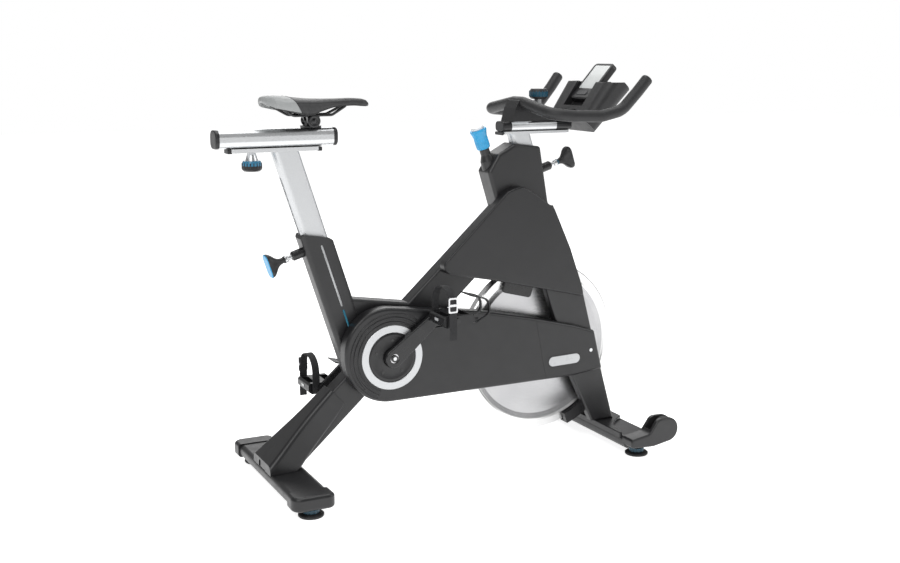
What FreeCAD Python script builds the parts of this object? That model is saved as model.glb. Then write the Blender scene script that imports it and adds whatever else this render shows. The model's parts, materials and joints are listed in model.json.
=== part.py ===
import FreeCAD, Part
import math
import os

import Sketcher

# Indoor spin bike. Millimetres, +X forward, +Y to the rider's left, +Z up.
# Row origin: on the floor, midway along the length, on the plane of symmetry.
# Every place below is given from the crank: x ahead of the crank axis, y to the left, z above the floor.

os.makedirs("parts", exist_ok=True)
doc = FreeCAD.newDocument("spin_bike")
V = FreeCAD.Vector

# ------------------------------------------------------------------ driving dimensions

DIMENSIONS = [
    ("crank_x", -181.25, "crank axis ahead of the row origin"),
    ("crank_height", 330.0, "crank axis above the floor"),
    ("crank_length", 170.0, "crank axis to pedal axis"),
    ("crank_angle", 38.7, "right crank above the horizontal, degrees"),
    ("arm_inner", 76.0, "inner face of a crank arm from the centre plane"),
    ("arm_thickness", 14.0, "thickness of a crank arm"),
    ("axle_radius", 12.46, "crank axle"),
    ("pedal_radius", 7.0, "pedal axle"),
    ("pedal_offset", 141.6, "pedal centre from the centre plane"),
    ("pedal_width", 88.0, "pedal body along its axle"),
    ("seat_lean", 18.0, "seat tube leaning back, degrees"),
    ("seat_tube_depth", 81.0, "seat tube section, fore and aft"),
    ("seat_tube_width", 56.0, "seat tube section, side to side"),
    ("post_depth", 66.0, "seat post section, fore and aft"),
    ("post_width", 36.0, "seat post section, side to side"),
    ("post_play", 0.4, "gap all round a post in its tube"),
    ("bar_lean", 17.5, "handlebar post leaning back, degrees"),
    ("bar_post_depth", 60.5, "handlebar post section, fore and aft"),
    ("beam_width", 50.0, "width of the main beam and of the rear leg"),
    ("head_width", 68.0, "width of the head"),
    ("leg_inner", 34.0, "inner face of a fork leg from the centre plane"),
    ("leg_thickness", 23.0, "thickness of a fork leg"),
    ("cover_face", 64.0, "outer face of an upper side cover from the centre plane"),
    ("guard_back", 36.0, "back edge of the belt guard from the centre plane"),
    ("guard_face", 72.0, "outer face of the belt guard from the centre plane"),
    ("shell_wall", 2.5, "wall of a moulded cover"),
    ("ring_outer", 85.5, "outer radius of the trim ring"),
    ("ring_inner", 66.0, "inner radius of the trim ring"),
    ("wheel_x", 475.0, "flywheel axis ahead of the crank axis"),
    ("wheel_height", 297.0, "flywheel axis above the floor"),
    ("wheel_radius", 240.0, "flywheel radius"),
    ("wheel_rim", 26.0, "radial width of the flywheel rim"),
    ("wheel_width", 28.0, "flywheel rim along its axis"),
    ("wheel_axle", 10.0, "flywheel axle radius"),
    ("belt_plane", 63.0, "middle of the belt from the centre plane"),
    ("belt_width", 8.0, "width of the pulleys"),
    ("big_pulley", 100.0, "radius of the crank pulley"),
    ("small_pulley", 30.0, "radius of the flywheel pulley"),
    ("foot_height", 26.0, "underside of a stabilizer above the floor"),
    ("base_height", 32.0, "depth of a stabilizer section"),
    ("base_width", 102.0, "width of a stabilizer section"),
    ("rear_base", -283.5, "rear stabilizer axis ahead of the crank axis"),
    ("front_base", 691.0, "front stabilizer axis ahead of the crank axis"),
    ("rear_half", 204.0, "half length of the rear stabilizer tube"),
    ("front_half", 196.0, "half length of the front stabilizer tube"),
    ("rear_end", 257.0, "outer end of the rear end caps"),
    ("arm_end", 242.0, "outer face of the wheel arms"),
    ("foot_radius", 32.0, "levelling foot"),
    ("roller_radius", 32.5, "transport wheel"),
    ("slider_width", 50.0, "seat slider section, side to side"),
    ("slider_height", 45.5, "seat slider section, up and down"),
    ("slider_length", 292.0, "seat slider tube"),
    ("bar_radius", 15.5, "handlebar tube"),
    ("console_width", 94.0, "console, side to side"),
    ("console_length", 127.0, "console, along its face"),
    ("console_thickness", 19.0, "console"),
]


class Size:
    """A length kept as an expression of the sheet, so that what uses it stays bound to the sheet."""

    def __init__(self, text, number):
        self.text = text
        self.number = number

    def combine(self, sign, other, number):
        """The expression that joins this size and another size or number."""
        right = other.text if isinstance(other, Size) else repr(float(other))
        return Size("(%s %s %s)" % (self.text, sign, right), number)

    def __add__(self, other):
        return self.combine("+", other, self.number + num(other))

    def __sub__(self, other):
        return self.combine("-", other, self.number - num(other))

    def __mul__(self, other):
        return self.combine("*", other, self.number * num(other))

    def __neg__(self):
        return Size("(0 - %s)" % self.text, -self.number)


def num(size):
    """The plain number of a size."""
    return size.number if isinstance(size, Size) else float(size)


sheet = doc.addObject("Spreadsheet::Sheet", "dims")
for row, (alias, number, meaning) in enumerate(DIMENSIONS, start=1):
    sheet.set("A%d" % row, alias)
    sheet.set("B%d" % row, str(number))
    sheet.set("C%d" % row, meaning)
    sheet.setAlias("B%d" % row, alias)
doc.recompute()


def dim(alias):
    """One driving dimension of the sheet."""
    return Size("dims.%s" % alias, float(sheet.get(alias)))


def bind(obj, name, size):
    """Set a property, bound to the sheet when its size comes from there."""
    setattr(obj, name, num(size))
    if isinstance(size, Size):
        obj.setExpression(name, size.text)


# ------------------------------------------------------------------ directions

UP = FreeCAD.Rotation()
RIGHT = FreeCAD.Rotation(V(1, 0, 0), 90)     # own Z points to the bike's right, own Y points up


def lean(angle):
    """Own Z tilted back from the vertical by an angle in degrees."""
    return FreeCAD.Rotation(V(0, 1, 0), -num(angle))


def facing(x, z):
    """Own Z along the direction (x, z) in the plane of symmetry."""
    return FreeCAD.Rotation(V(0, 1, 0), math.degrees(math.atan2(x, z)))


def locate(obj, at, turn):
    """Place an object at a point given from the crank."""
    x, y, z = at
    x = dim("crank_x") + x
    obj.Placement = FreeCAD.Placement(V(num(x), num(y), num(z)), turn)
    for letter, size in zip("xyz", (x, y, z)):
        if isinstance(size, Size):
            obj.setExpression("Placement.Base." + letter, size.text)


# ------------------------------------------------------------------ sketches and features

def new_body(label, at=(0, 0, 0), turn=UP):
    """An empty body at a point given from the crank."""
    body = doc.addObject("PartDesign::Body", label)
    body.Label = label
    locate(body, at, turn)
    return body


def new_sketch(body, plane="XY_Plane", offset=0.0, name="profile"):
    """A sketch on one of a body's own origin planes, moved along the plane's normal."""
    sketch = body.newObject("Sketcher::SketchObject", body.Label + "_" + name)
    origin = [feature for feature in body.Origin.OriginFeatures if feature.Role == plane][0]
    sketch.AttachmentSupport = (origin, "")
    sketch.MapMode = "FlatFace"
    sketch.AttachmentOffset = FreeCAD.Placement(V(0, 0, num(offset)), UP)
    return sketch


LONGEST_REACH = 0.49      # how much of a straight run one rounded corner may use


def outline(sketch, corners):
    """A closed outline through corners (u, v) or (u, v, radius)."""
    joints = []
    for index, corner in enumerate(corners):
        point = V(num(corner[0]), num(corner[1]), 0)
        radius = corner[2] if len(corner) > 2 else 0
        if radius == 0:
            joints.append((point, None, point))
            continue
        before = corners[index - 1]
        after = corners[(index + 1) % len(corners)]
        back = (V(num(before[0]), num(before[1]), 0) - point).normalize()
        ahead = (V(num(after[0]), num(after[1]), 0) - point).normalize()
        half = back.getAngle(ahead) / 2
        runs = math.hypot(num(before[0]) - point.x, num(before[1]) - point.y)
        runs = min(runs, math.hypot(num(after[0]) - point.x, num(after[1]) - point.y))
        reach = min(radius / math.tan(half), LONGEST_REACH * runs)
        radius = reach * math.tan(half)
        middle = point + (back + ahead).normalize() * (radius / math.sin(half) - radius)
        joints.append((point + back * reach, middle, point + ahead * reach))
    geometry = []
    ends = []
    for index, (start, middle, end) in enumerate(joints):
        if middle is not None:
            clockwise = (middle - start).cross(end - middle).z < 0
            geometry.append(Part.Arc(start, middle, end))
            ends.append((2, 1) if clockwise else (1, 2))
        following = joints[(index + 1) % len(joints)][0]
        if end.distanceToPoint(following) > 1e-3:
            geometry.append(Part.LineSegment(end, following))
            ends.append((1, 2))
    first = sketch.GeometryCount
    sketch.addGeometry(geometry, False)
    total = len(geometry)
    for i in range(total):
        after = (i + 1) % total
        sketch.addConstraint(Sketcher.Constraint("Coincident", first + i, ends[i][1], first + after, ends[after][0]))


def rounded(width, height, radius, u=0.0, v=0.0):
    """The corners of a rounded rectangle about (u, v)."""
    a = num(width) / 2
    b = num(height) / 2
    return [(u - a, v - b, radius), (u + a, v - b, radius), (u + a, v + b, radius), (u - a, v + b, radius)]


def circle(sketch, radius, u=0.0, v=0.0):
    """A circle whose radius is bound to the sheet."""
    index = sketch.addGeometry(Part.Circle(V(num(u), num(v), 0), V(0, 0, 1), num(radius)), False)
    rule = sketch.addConstraint(Sketcher.Constraint("Radius", index, num(radius)))
    if isinstance(radius, Size):
        sketch.setExpression("Constraints[%d]" % rule, radius.text)


def pad(body, sketch, length, both_ways=False):
    """Extrude a sketch along its normal, or half each way."""
    feature = body.newObject("PartDesign::Pad", body.Label + "_pad")
    feature.Profile = sketch
    feature.SideType = "Symmetric" if both_ways else "One side"
    bind(feature, "Length", length)
    body.Tip = feature
    doc.recompute()
    return feature


def pocket(body, sketch, depth, both_ways=False, ahead=True):
    """Cut a sketch out of a body, ahead along its normal, backwards or half each way."""
    volume = body.Shape.Volume
    feature = body.newObject("PartDesign::Pocket", body.Label + "_pocket")
    feature.Profile = sketch
    feature.SideType = "Symmetric" if both_ways else "One side"
    feature.Reversed = ahead
    bind(feature, "Length", depth)
    body.Tip = feature
    doc.recompute()
    if body.Shape.Volume > volume - 1e-3:
        raise ValueError("a pocket cuts nothing: " + body.Label)
    return feature


def soften(body, radius, chosen):
    """Round the edges of a body that the test picks."""
    base = body.Tip
    names = ["Edge%d" % (i + 1) for i, edge in enumerate(base.Shape.Edges) if chosen(edge)]
    feature = body.newObject("PartDesign::Fillet", body.Label + "_fillet")
    feature.Base = (base, names)
    feature.Radius = radius
    body.Tip = feature
    doc.recompute()
    if not feature.Shape.isValid() or "Invalid" in feature.State:
        raise ValueError("a fillet failed: " + body.Label)


def at_level(level):
    """A test for the edges that lie in one plane across a body's own Z."""
    return lambda edge: abs(edge.BoundBox.ZMin - num(level)) < 0.01 and abs(edge.BoundBox.ZMax - num(level)) < 0.01


def plate(label, corners, y_left, thickness, turn=RIGHT, at=None):
    """A side profile drawn in x and z, extruded to the right from y_left."""
    body = new_body(label, at or (0, y_left, 0), turn)
    sketch = new_sketch(body)
    outline(sketch, corners)
    pad(body, sketch, thickness)
    return body


def beam(label, corners, width, hollow=None, wall=4.0, edge=7.0):
    """A side profile drawn in x and z, extruded evenly about the centre plane, with a hollow if given."""
    body = new_body(label, (0, 0, 0), RIGHT)
    sketch = new_sketch(body)
    outline(sketch, corners)
    pad(body, sketch, width, both_ways=True)
    soften(body, edge, lambda side: abs(abs(side.BoundBox.ZMin) - num(width) / 2) < 0.01
           and abs(side.BoundBox.ZMax - side.BoundBox.ZMin) < 0.01)
    if hollow:
        inner = new_sketch(body, name="hollow")
        outline(inner, hollow)
        pocket(body, inner, num(width) - 2 * wall, both_ways=True)
    return body


def post(label, at, turn, depth, width, radius, low, high, hollow=None):
    """A rounded rectangular tube along its own Z from low to high."""
    body = new_body(label, at, turn)
    sketch = new_sketch(body, offset=low)
    outline(sketch, rounded(depth, width, radius))
    if hollow:
        outline(sketch, rounded(*hollow))
    pad(body, sketch, high - low)
    return body


def turned(label, at, turn, profile):
    """A body of revolution about its own Z from (radius, height) points."""
    body = new_body(label, at, turn)
    sketch = new_sketch(body, "XZ_Plane")
    points = [V(num(r), num(z), 0) for r, z in profile]
    total = len(points)
    sketch.addGeometry([Part.LineSegment(points[i], points[(i + 1) % total]) for i in range(total)], False)
    for i in range(total):
        sketch.addConstraint(Sketcher.Constraint("Coincident", i, 2, (i + 1) % total, 1))
    for i, (r, z) in enumerate(profile):
        if isinstance(r, Size):
            rule = sketch.addConstraint(Sketcher.Constraint("DistanceX", -1, 1, i, 1, r.number))
            sketch.setExpression("Constraints[%d]" % rule, r.text)
        if isinstance(z, Size):
            kind = Sketcher.Constraint("DistanceY", -1, 1, i, 1, z.number)
            rule = sketch.addConstraint(kind)
            sketch.setExpression("Constraints[%d]" % rule, z.text)
    feature = body.newObject("PartDesign::Revolution", label + "_turn")
    feature.Profile = sketch
    feature.ReferenceAxis = (sketch, ["V_Axis"])
    feature.Angle = 360.0
    body.Tip = feature
    doc.recompute()
    return body


def ring_profile(inner, outer, low, high):
    """The profile of a plain ring or, with no inner radius, of a disc."""
    return [(inner, low), (outer, low), (outer, high), (inner, high)]


# ------------------------------------------------------------------ booleans

def cut(label, base, *tools):
    """The base with every tool taken away."""
    result = doc.addObject("Part::Cut", label)
    result.Label = label
    result.Base = base
    if len(tools) == 1:
        result.Tool = tools[0]
    else:
        group = doc.addObject("Part::MultiFuse", label + "_tools")
        group.Shapes = list(tools)
        result.Tool = group
    return result


def fuse(label, *shapes):
    """Several shapes welded into one solid."""
    result = doc.addObject("Part::MultiFuse", label)
    result.Label = label
    result.Shapes = list(shapes)
    result.Refine = True
    return result


def mirror(label, source):
    """The same piece on the other side of the centre plane."""
    result = doc.addObject("Part::Mirroring", label)
    result.Label = label
    result.Source = source
    result.Normal = V(0, 1, 0)
    return result


def group(label, *shapes):
    """Separate solids that share one node."""
    result = doc.addObject("Part::Compound", label)
    result.Label = label
    result.Links = list(shapes)
    return result


def cylinder(label, at, turn, radius, height):
    """A plain cylinder along its own Z."""
    result = doc.addObject("Part::Cylinder", label)
    result.Label = label
    bind(result, "Radius", radius)
    bind(result, "Height", height)
    locate(result, at, turn)
    return result


def block(label, at, sizes):
    """A plain box from its lowest corner."""
    result = doc.addObject("Part::Box", label)
    result.Label = label
    for name, size in zip(("Length", "Width", "Height"), sizes):
        bind(result, name, size)
    locate(result, at, UP)
    return result


NODES = []


def node(obj):
    """Mark an object as a sub-part to be exported."""
    NODES.append(obj)
    return obj


# ------------------------------------------------------------------ frame tubes

def seat_tube_frame():
    """Where the seat tube's own frame starts, on its axis."""
    return (-74.0, 0, 315.0)


SEAT_TOP_REAR = 372.0        # seat tube's top edge along its axis, at the back and at the front
SEAT_TOP_FRONT = 337.0
SEAT_LOW = -28.0
SEAT_CORNER = 12.0
BORE_CORNER = 14.4


def make_seat_tube():
    """The seat tube, open at the top for the post, and its outer shape as a tool."""
    depth = dim("seat_tube_depth")
    width = dim("seat_tube_width")
    play = 2 * num(dim("post_play"))
    bore = (num(dim("post_depth")) + play, num(dim("post_width")) + play, BORE_CORNER)
    turn = lean(dim("seat_lean"))
    half = num(depth) / 2
    trim = [(-half - 9, SEAT_TOP_REAR - 20), (-half, SEAT_TOP_REAR - 9), (-half + 9, SEAT_TOP_REAR, 8),
            (half - 11, SEAT_TOP_FRONT + 4, 8), (half, SEAT_TOP_FRONT - 9), (half + 9, SEAT_TOP_FRONT - 20),
            (half + 9, 460), (-half - 9, 460)]
    made = []
    for label, hollow in (("seat_tube_outer", None), ("seat_tube", bore)):
        tube = post(label, seat_tube_frame(), turn, depth, width, SEAT_CORNER, SEAT_LOW, SEAT_TOP_REAR + 10, hollow)
        top = new_sketch(tube, "XZ_Plane", name="top")
        outline(top, trim)
        pocket(tube, top, 200, both_ways=True)
        made.append(tube)
    hole = cylinder("seat_pin_hole", seat_pin_point(-30), seat_pin_turn(), 6.1, 60)
    made[1].Label = "seat_tube_blank"
    return made[0], cut("seat_tube", made[1], hole)


def seat_pin_turn():
    """The seat pin's own Z, out of the back of the seat tube."""
    angle = math.radians(num(dim("seat_lean")))
    return facing(-math.cos(angle), -math.sin(angle))


def seat_pin_point(out, along=325.0):
    """A point on the seat pin's axis, so far out of the tube's rear face."""
    angle = math.radians(num(dim("seat_lean")))
    x, _, z = seat_tube_frame()
    reach = num(dim("seat_tube_depth")) / 2 + out
    return (x - along * math.sin(angle) - reach * math.cos(angle), 0,
            z + along * math.cos(angle) - reach * math.sin(angle))


def head_frame():
    """Where the handlebar post's own frame starts: on its axis, level with the head's top."""
    return (417.5, 0, 861.0)


def bar_pin_turn():
    """The handlebar pin's own Z, out of the front of the head."""
    angle = math.radians(num(dim("bar_lean")))
    return facing(math.cos(angle), math.sin(angle))


def bar_pin_point(out, down=84.0):
    """A point on the handlebar pin's axis, so far out of the head's front face."""
    angle = math.radians(num(dim("bar_lean")))
    x, _, z = head_frame()
    reach = 39.5 + out
    return (x + down * math.sin(angle) + reach * math.cos(angle), 0,
            z - down * math.cos(angle) + reach * math.sin(angle))


KNOB_BASE = (303.0, 0, 855.0)     # resistance knob's lower face, on its axis
KNOB_LEAN = 20.0                  # degrees


def knob_point(up):
    """A point on the resistance knob's axis, measured up from its lower face."""
    angle = math.radians(KNOB_LEAN)
    return (KNOB_BASE[0] - up * math.sin(angle), 0, KNOB_BASE[2] + up * math.cos(angle))


BEAM_SHAPE = [(-125, 490), (68, 460), (356, 724), (421, 649), (100, 356, 30), (-128, 410)]
BEAM_HOLLOW = [(-130, 486.5), (66.5, 455.5), (362, 727), (417, 652), (99, 361, 26), (-130, 415)]
HEAD_SHAPE = [(333, 690, 20), (301, 793, 10), (330, 840, 12), (380, 867, 10), (460, 857, 9), (489, 694),
              (530, 600), (415, 600, 20)]
LEG_SHAPE = [(397, 697, 20), (490, 697), (547, 577, 60), (589, 457, 60), (622, 335), (661, 207), (702, 66), (628, 66),
             (560, 207, 20), (540, 259, 10), (439, 259, 37.9), (439, 335, 37.9), (515, 335, 10), (476, 450, 20)]
REAR_LEG_SHAPE = [(-334, 58), (-334, 78), (-130, 262), (-100, 289), (-20, 345), (30, 300), (-68, 210), (-237, 58)]
REAR_LEG_HOLLOW = [(-329, 50), (-329, 76), (-127, 257), (-60, 300), (10, 300), (-66, 217), (-245, 50)]


def make_frame():
    """The welded frame; gives back the outer shape of the head and the room of the fork legs."""
    seat_outer, seat_tube = make_seat_tube()
    node(seat_tube)
    bar_play = 2 * num(dim("post_play"))
    bore = post("head_bore", head_frame(), lean(dim("bar_lean")), num(dim("bar_post_depth")) + bar_play,
                num(dim("post_width")) + bar_play, BORE_CORNER, -262.0, 40.0)
    rod_way = cylinder("rod_way", knob_point(-340), lean(KNOB_LEAN), 8.0, 360)
    pin_way = cylinder("bar_pin_way", bar_pin_point(-30), bar_pin_turn(), 6.1, 60)
    stem = turned("knob_stem", knob_point(-64), lean(KNOB_LEAN),
                  [(0, 0), (22, 0), (20, 30), (13.5, 46), (13.5, 62.5), (0, 62.5)])
    head_blank = beam("head_blank", HEAD_SHAPE, dim("head_width"), edge=9.0)
    head = fuse("head_and_stem", head_blank, stem)
    node(cut("head_tube", head, bore, rod_way, pin_way))

    beam_blank = beam("beam_blank", BEAM_SHAPE, dim("beam_width"), BEAM_HOLLOW)
    node(cut("main_beam", beam_blank, seat_outer, head_blank, rod_way))

    leg_blank = beam("rear_leg_blank", REAR_LEG_SHAPE, dim("beam_width"), REAR_LEG_HOLLOW)
    shell_blank = cylinder("shell_blank", (0, 62, dim("crank_height")), RIGHT, 34, 98)
    node(cut("rear_leg", leg_blank, seat_outer, shell_blank))

    web = beam("shell_web", [(-70, 300), (-20, 345), (20, 330), (20, 395), (-70, 430)], 36)
    bearing_seat = cylinder("bearing_seat", (0, 70, dim("crank_height")), RIGHT, 26, 120)
    shell = fuse("shell_and_web", shell_blank, web)
    node(cut("crank_shell", shell, seat_outer, beam_blank, leg_outer_tool(), bearing_seat))

    for side, y_left in (("right", -dim("leg_inner")), ("left", dim("leg_inner") + dim("leg_thickness"))):
        leg = plate("fork_leg_blank_" + side, LEG_SHAPE, y_left, dim("leg_thickness"))
        outer = num(dim("leg_thickness")) if side == "right" else 0.0
        soften(leg, 6.0, at_level(outer))
        seat = cylinder("leg_seat_" + side, (dim("wheel_x"), 60, dim("wheel_height")), RIGHT, 16, 120)
        node(cut("fork_leg_" + side, leg, seat))
    return head_blank, leg_room()


def leg_room():
    """The room that a fork leg takes on each side, used to notch the covers round it."""
    grown = 0.15
    tools = {}
    for side, y_left in (("right", -dim("leg_inner") + grown), ("left", dim("leg_inner") + dim("leg_thickness") + grown)):
        tools[side] = plate("leg_room_" + side, LEG_SHAPE, y_left, dim("leg_thickness") + 2 * grown)
    return tools


def leg_outer_tool():
    """The rear leg's outer shape, used to trim what meets it."""
    return beam("rear_leg_tool", REAR_LEG_SHAPE, dim("beam_width"))


# ------------------------------------------------------------------ base

def make_base():
    """Stabilizers, end caps, wheel arms and the boot over the rear leg's foot."""
    middle = dim("foot_height") + num(dim("base_height")) / 2
    width = dim("base_width")
    height = dim("base_height")
    for label, x, half in (("rear_stabilizer", dim("rear_base"), dim("rear_half")),
                           ("front_stabilizer_tube", dim("front_base"), dim("front_half"))):
        tube = new_body(label, (x, 0, middle), RIGHT)
        sketch = new_sketch(tube)
        outline(sketch, rounded(width, height, 13))
        outline(sketch, rounded(num(width) - 7, num(height) - 7, 9.5))
        pad(tube, sketch, half * 2, both_ways=True)
        if label == "rear_stabilizer":
            node(tube)
    plinth = new_body("plinth", (dim("front_base"), 0, 48), UP)
    sketch = new_sketch(plinth)
    outline(sketch, [(-50, -186, 4), (-38, -176, 14), (-22, -106, 60), (10, -72, 40), (45, -46, 14), (45, 46, 14),
                     (10, 72, 40), (-22, 106, 60), (-38, 176, 14), (-50, 186, 4)])
    pad(plinth, sketch, 18)
    soften(plinth, 3.0, at_level(18))
    bore = block("plinth_bore", (dim("front_base") - 47.5, -196, 29.5), (95, 392, 25))
    studs = [cylinder("front_stud_hole_%d" % sign, (front_foot_x(), sign * foot_places()[2][1], 0), UP, 5.3, 45)
             for sign in (-1, 1)]
    node(cut("front_stabilizer", fuse("stabilizer_and_plinth", tube, plinth), bore, *studs))

    cap = new_body("rear_cap_right", (dim("rear_base"), 0, 23.5), UP)
    sketch = new_sketch(cap)
    near = num(dim("rear_half"))
    far = num(dim("rear_end"))
    outline(sketch, [(-55, -near), (-57, -far, 30), (54, -far, 18), (53, -near)])
    pad(cap, sketch, 37)
    soften(cap, 9.0, lambda edge: (at_level(37)(edge) or at_level(0)(edge)) and edge.BoundBox.YMin < -near - 0.1)
    stud = cylinder("rear_cap_stud_hole", (dim("rear_base"), -foot_places()[0][1], 0), UP, 5.3, 45)
    cap_cut = cut("rear_cap_drilled", cap, stud)
    node(group("rear_end_caps", cap_cut, mirror("rear_cap_left", cap_cut)))

    arm = make_wheel_arm()
    node(group("wheel_arms", arm, mirror("wheel_arm_left", arm)))
    make_boot()


ROLLER = (763.0, 74.0)            # transport wheel axis, x and z
ARM_SHAPE = [(640, 36, 9), (715, 32, 60), (796, 46, 34), (794, 107, 32), (728, 109, 22), (700, 70, 20), (640, 60, 9)]


def make_wheel_arm():
    """The right wheel arm: an end block, a curved tip with two cheeks, and the wheel's pin."""
    inner = num(dim("front_half"))
    width = num(dim("arm_end")) - inner
    blank = plate("arm_blank", ARM_SHAPE, -inner, width)
    soften(blank, 5.0, at_level(width))
    slot = plate("arm_slot", [(714, 20), (840, 20), (840, 140), (690, 140), (690, 100, 10), (714, 70)], -inner - 10, 24)
    pin = cylinder("arm_pin", (ROLLER[0], -inner - 8, ROLLER[1]), RIGHT, 4, 28)
    plug = new_body("arm_plug", (dim("front_base"), -inner, dim("foot_height") + num(dim("base_height")) / 2), RIGHT)
    sketch = new_sketch(plug)
    outline(sketch, rounded(dim("base_width"), dim("base_height"), 13))
    pad(plug, sketch, 10)
    soften(plug, 3.0, at_level(10))
    return fuse("wheel_arm_right", cut("arm_cheeks", blank, slot), pin, plug)


def front_foot_x():
    """The front feet's place along the bike."""
    return dim("front_base") + 1


def foot_places():
    """The levelling feet: name, distance from the centre plane with its sign, and x."""
    return [("foot_rear_left", 220.0, dim("rear_base")), ("foot_rear_right", -220.0, dim("rear_base")),
            ("foot_front_left", 190.0, front_foot_x()), ("foot_front_right", -190.0, front_foot_x())]


def make_feet():
    """Levelling feet: rubber disc, ribbed nut and stud."""
    radius = dim("foot_radius")
    for label, y, x in foot_places():
        disc = turned(label + "_disc", (x, y, 0), UP,
                      [(0, 0), (radius - 2, 0), (radius, 2), (radius, 6), (radius - 3, 8.5), (21, 10), (21, 20.5), (5, 20.5),
                       (5, 42), (0, 42)])
        ribs = new_body(label + "_ribs", (x, y, 0), UP)
        sketch = new_sketch(ribs, offset=11)
        for k in range(12):
            angle = 2 * math.pi * k / 12
            circle(sketch, 2.6, 22.5 * math.cos(angle), 22.5 * math.sin(angle))
        pad(ribs, sketch, 8.5)
        node(cut(label, disc, ribs))


def make_rollers():
    """Transport wheels on the arms' pins."""
    inner = num(dim("front_half"))
    rim = dim("roller_radius")
    for side, sign in (("right", -1), ("left", 1)):
        y_left = sign * (inner + 22) + 10.5
        node(turned("transport_wheel_" + side, (ROLLER[0], y_left, ROLLER[1]), RIGHT,
                    [(4.06, 0), (11, 0), (13, 3), (23, 3), (25, 0), (rim - 2, 0), (rim, 2), (rim, 19), (rim - 2, 21),
                     (25, 21), (23, 18), (13, 18), (11, 21), (4.06, 21)]))


def make_boot():
    """The moulded boot round the back of the rear leg's foot, flaring towards the stabilizer."""
    body = new_body("boot_blank", (-236.8, 0, 58), facing(0.743, 0.669))
    sections = []
    for k, (along, half, low, high, corner) in enumerate([(-75, 70, 10, 84, 13), (-20, 62, 12, 85, 13), (40, 48, 16, 86, 12),
                                                                          (110, 36, 20, 87, 12), (190, 30, 30, 88, 11)]):
        sketch = new_sketch(body, offset=along, name="section%d" % k)
        outline(sketch, [(-high, -half, corner), (-low, -half, corner * 0.6), (-low, half, corner * 0.6), (-high, half, corner)])
        sections.append(sketch)
    loft = body.newObject("PartDesign::AdditiveLoft", "boot_loft")
    loft.Profile = sections[0]
    loft.Sections = sections[1:]
    body.Tip = loft
    doc.recompute()
    under = block("under_boot", (-500, -150, -60), (500, 300, 118.3))
    behind = block("behind_boot", (-500, -150, 0), (164, 300, 400))
    inside = beam("boot_inside", [(-360, 40), (-360, 54.8), (-130, 262.3), (-60, 330), (60, 330), (-68, 205), (-250, 40)],
                  num(dim("beam_width")) + 1)
    node(cut("rear_leg_boot", cut("boot_trimmed", body, under, behind), inside))


# ------------------------------------------------------------------ covers

COVER_SHAPE = [(132, 540, 22), (343, 742, 24), (387, 758, 50), (440, 726, 60), (490, 690, 20), (543, 577, 60),
               (583, 469, 60), (590.5, 436, 8), (300, 506, 300)]
COVER_LEFT_SHAPE = [(176, 527, 22), (385, 715, 24), (410, 738, 40), (440, 726, 60), (490, 690, 20), (543, 577, 60),
                    (583, 469, 60), (590.5, 436, 8), (300, 506, 300)]
GUARD_SHAPE = [(-129.9, 209.5, 127), (464.5, 212.5), (429, 391), (255, 428, 60), (-129.9, 477, 128)]
GUARD_HOLLOW = [(-127.4, 212, 124.5), (480, 215), (440, 386), (255, 425.5, 60), (-127.4, 474.5, 125.5)]
FRONT_SHAPE = [(465, 212.5), (556, 212.5, 60), (651, 223, 4), (622, 337, 10), (560, 358, 120), (429.5, 391)]
FRONT_HOLLOW = [(463, 215), (556, 215, 57), (640, 225), (615, 334), (560, 354, 116), (429, 388)]


def moulding(label, shape, hollow, back, face):
    """A thin-walled cover on the right side, open at the back, with a rounded outer edge."""
    depth = num(face) - num(back)
    body = plate(label, shape, -back, depth)
    soften(body, 8.0, lambda edge: at_level(depth)(edge) and seam_free(edge))
    inner = new_sketch(body, name="hollow")
    outline(inner, hollow)
    pocket(body, inner, depth - num(dim("shell_wall")))
    return body


def seam_free(edge):
    """True for edges that don't lie on the seam between the guard and its front panel."""
    box = edge.BoundBox
    return not (box.XMin > 428 and box.XMax < 467 and box.YLength > 100)


def make_covers(legs):
    """Upper side covers, belt guard, front panel, trim ring and screws."""
    inner = dim("leg_inner") + 0.1
    depth = dim("cover_face") - inner
    for side, shape, y_left, outer in (("right", COVER_SHAPE, -inner, depth),
                                       ("left", COVER_LEFT_SHAPE, dim("cover_face"), 0.0)):
        blank = plate("cover_blank_" + side, shape, y_left, depth)
        soften(blank, 5.0, at_level(outer))
        node(cut("upper_cover_" + side, blank, legs[side]))

    guard = moulding("guard_blank", GUARD_SHAPE, GUARD_HOLLOW, dim("guard_back"), dim("guard_face"))
    opening = cylinder("guard_opening", (0, -65, dim("crank_height")), RIGHT, 20, 20)
    node(cut("belt_guard", guard, opening, legs["right"]))
    front = moulding("front_blank", FRONT_SHAPE, FRONT_HOLLOW, dim("guard_back"), dim("guard_face"))
    node(cut("belt_guard_front", front, legs["right"]))

    face = -dim("guard_face")
    node(turned("guard_ring", (0, face, dim("crank_height")), RIGHT,
                [(dim("ring_inner"), 0), (dim("ring_outer"), 0), (dim("ring_outer"), 1.6), (dim("ring_outer") - 1, 2.4),
                 (dim("ring_inner") + 1, 2.4), (dim("ring_inner"), 1.6)]))
    screws = []
    for k in range(5):
        angle = math.radians(90 + 72 * k)
        x = 46 * math.cos(angle)
        z = dim("crank_height") + 46 * math.sin(angle)
        screws.append(cylinder("disc_screw_%d" % k, (x, face, z), RIGHT, 4.5, 1.5))
    screws.append(cylinder("panel_screw", (610, face, 282), RIGHT, 5, 1.2))
    screws.append(cylinder("guard_screw", (-75, face, 252), RIGHT, 4, 1.2))
    node(group("cover_screws", *screws))


# ------------------------------------------------------------------ drive

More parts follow.
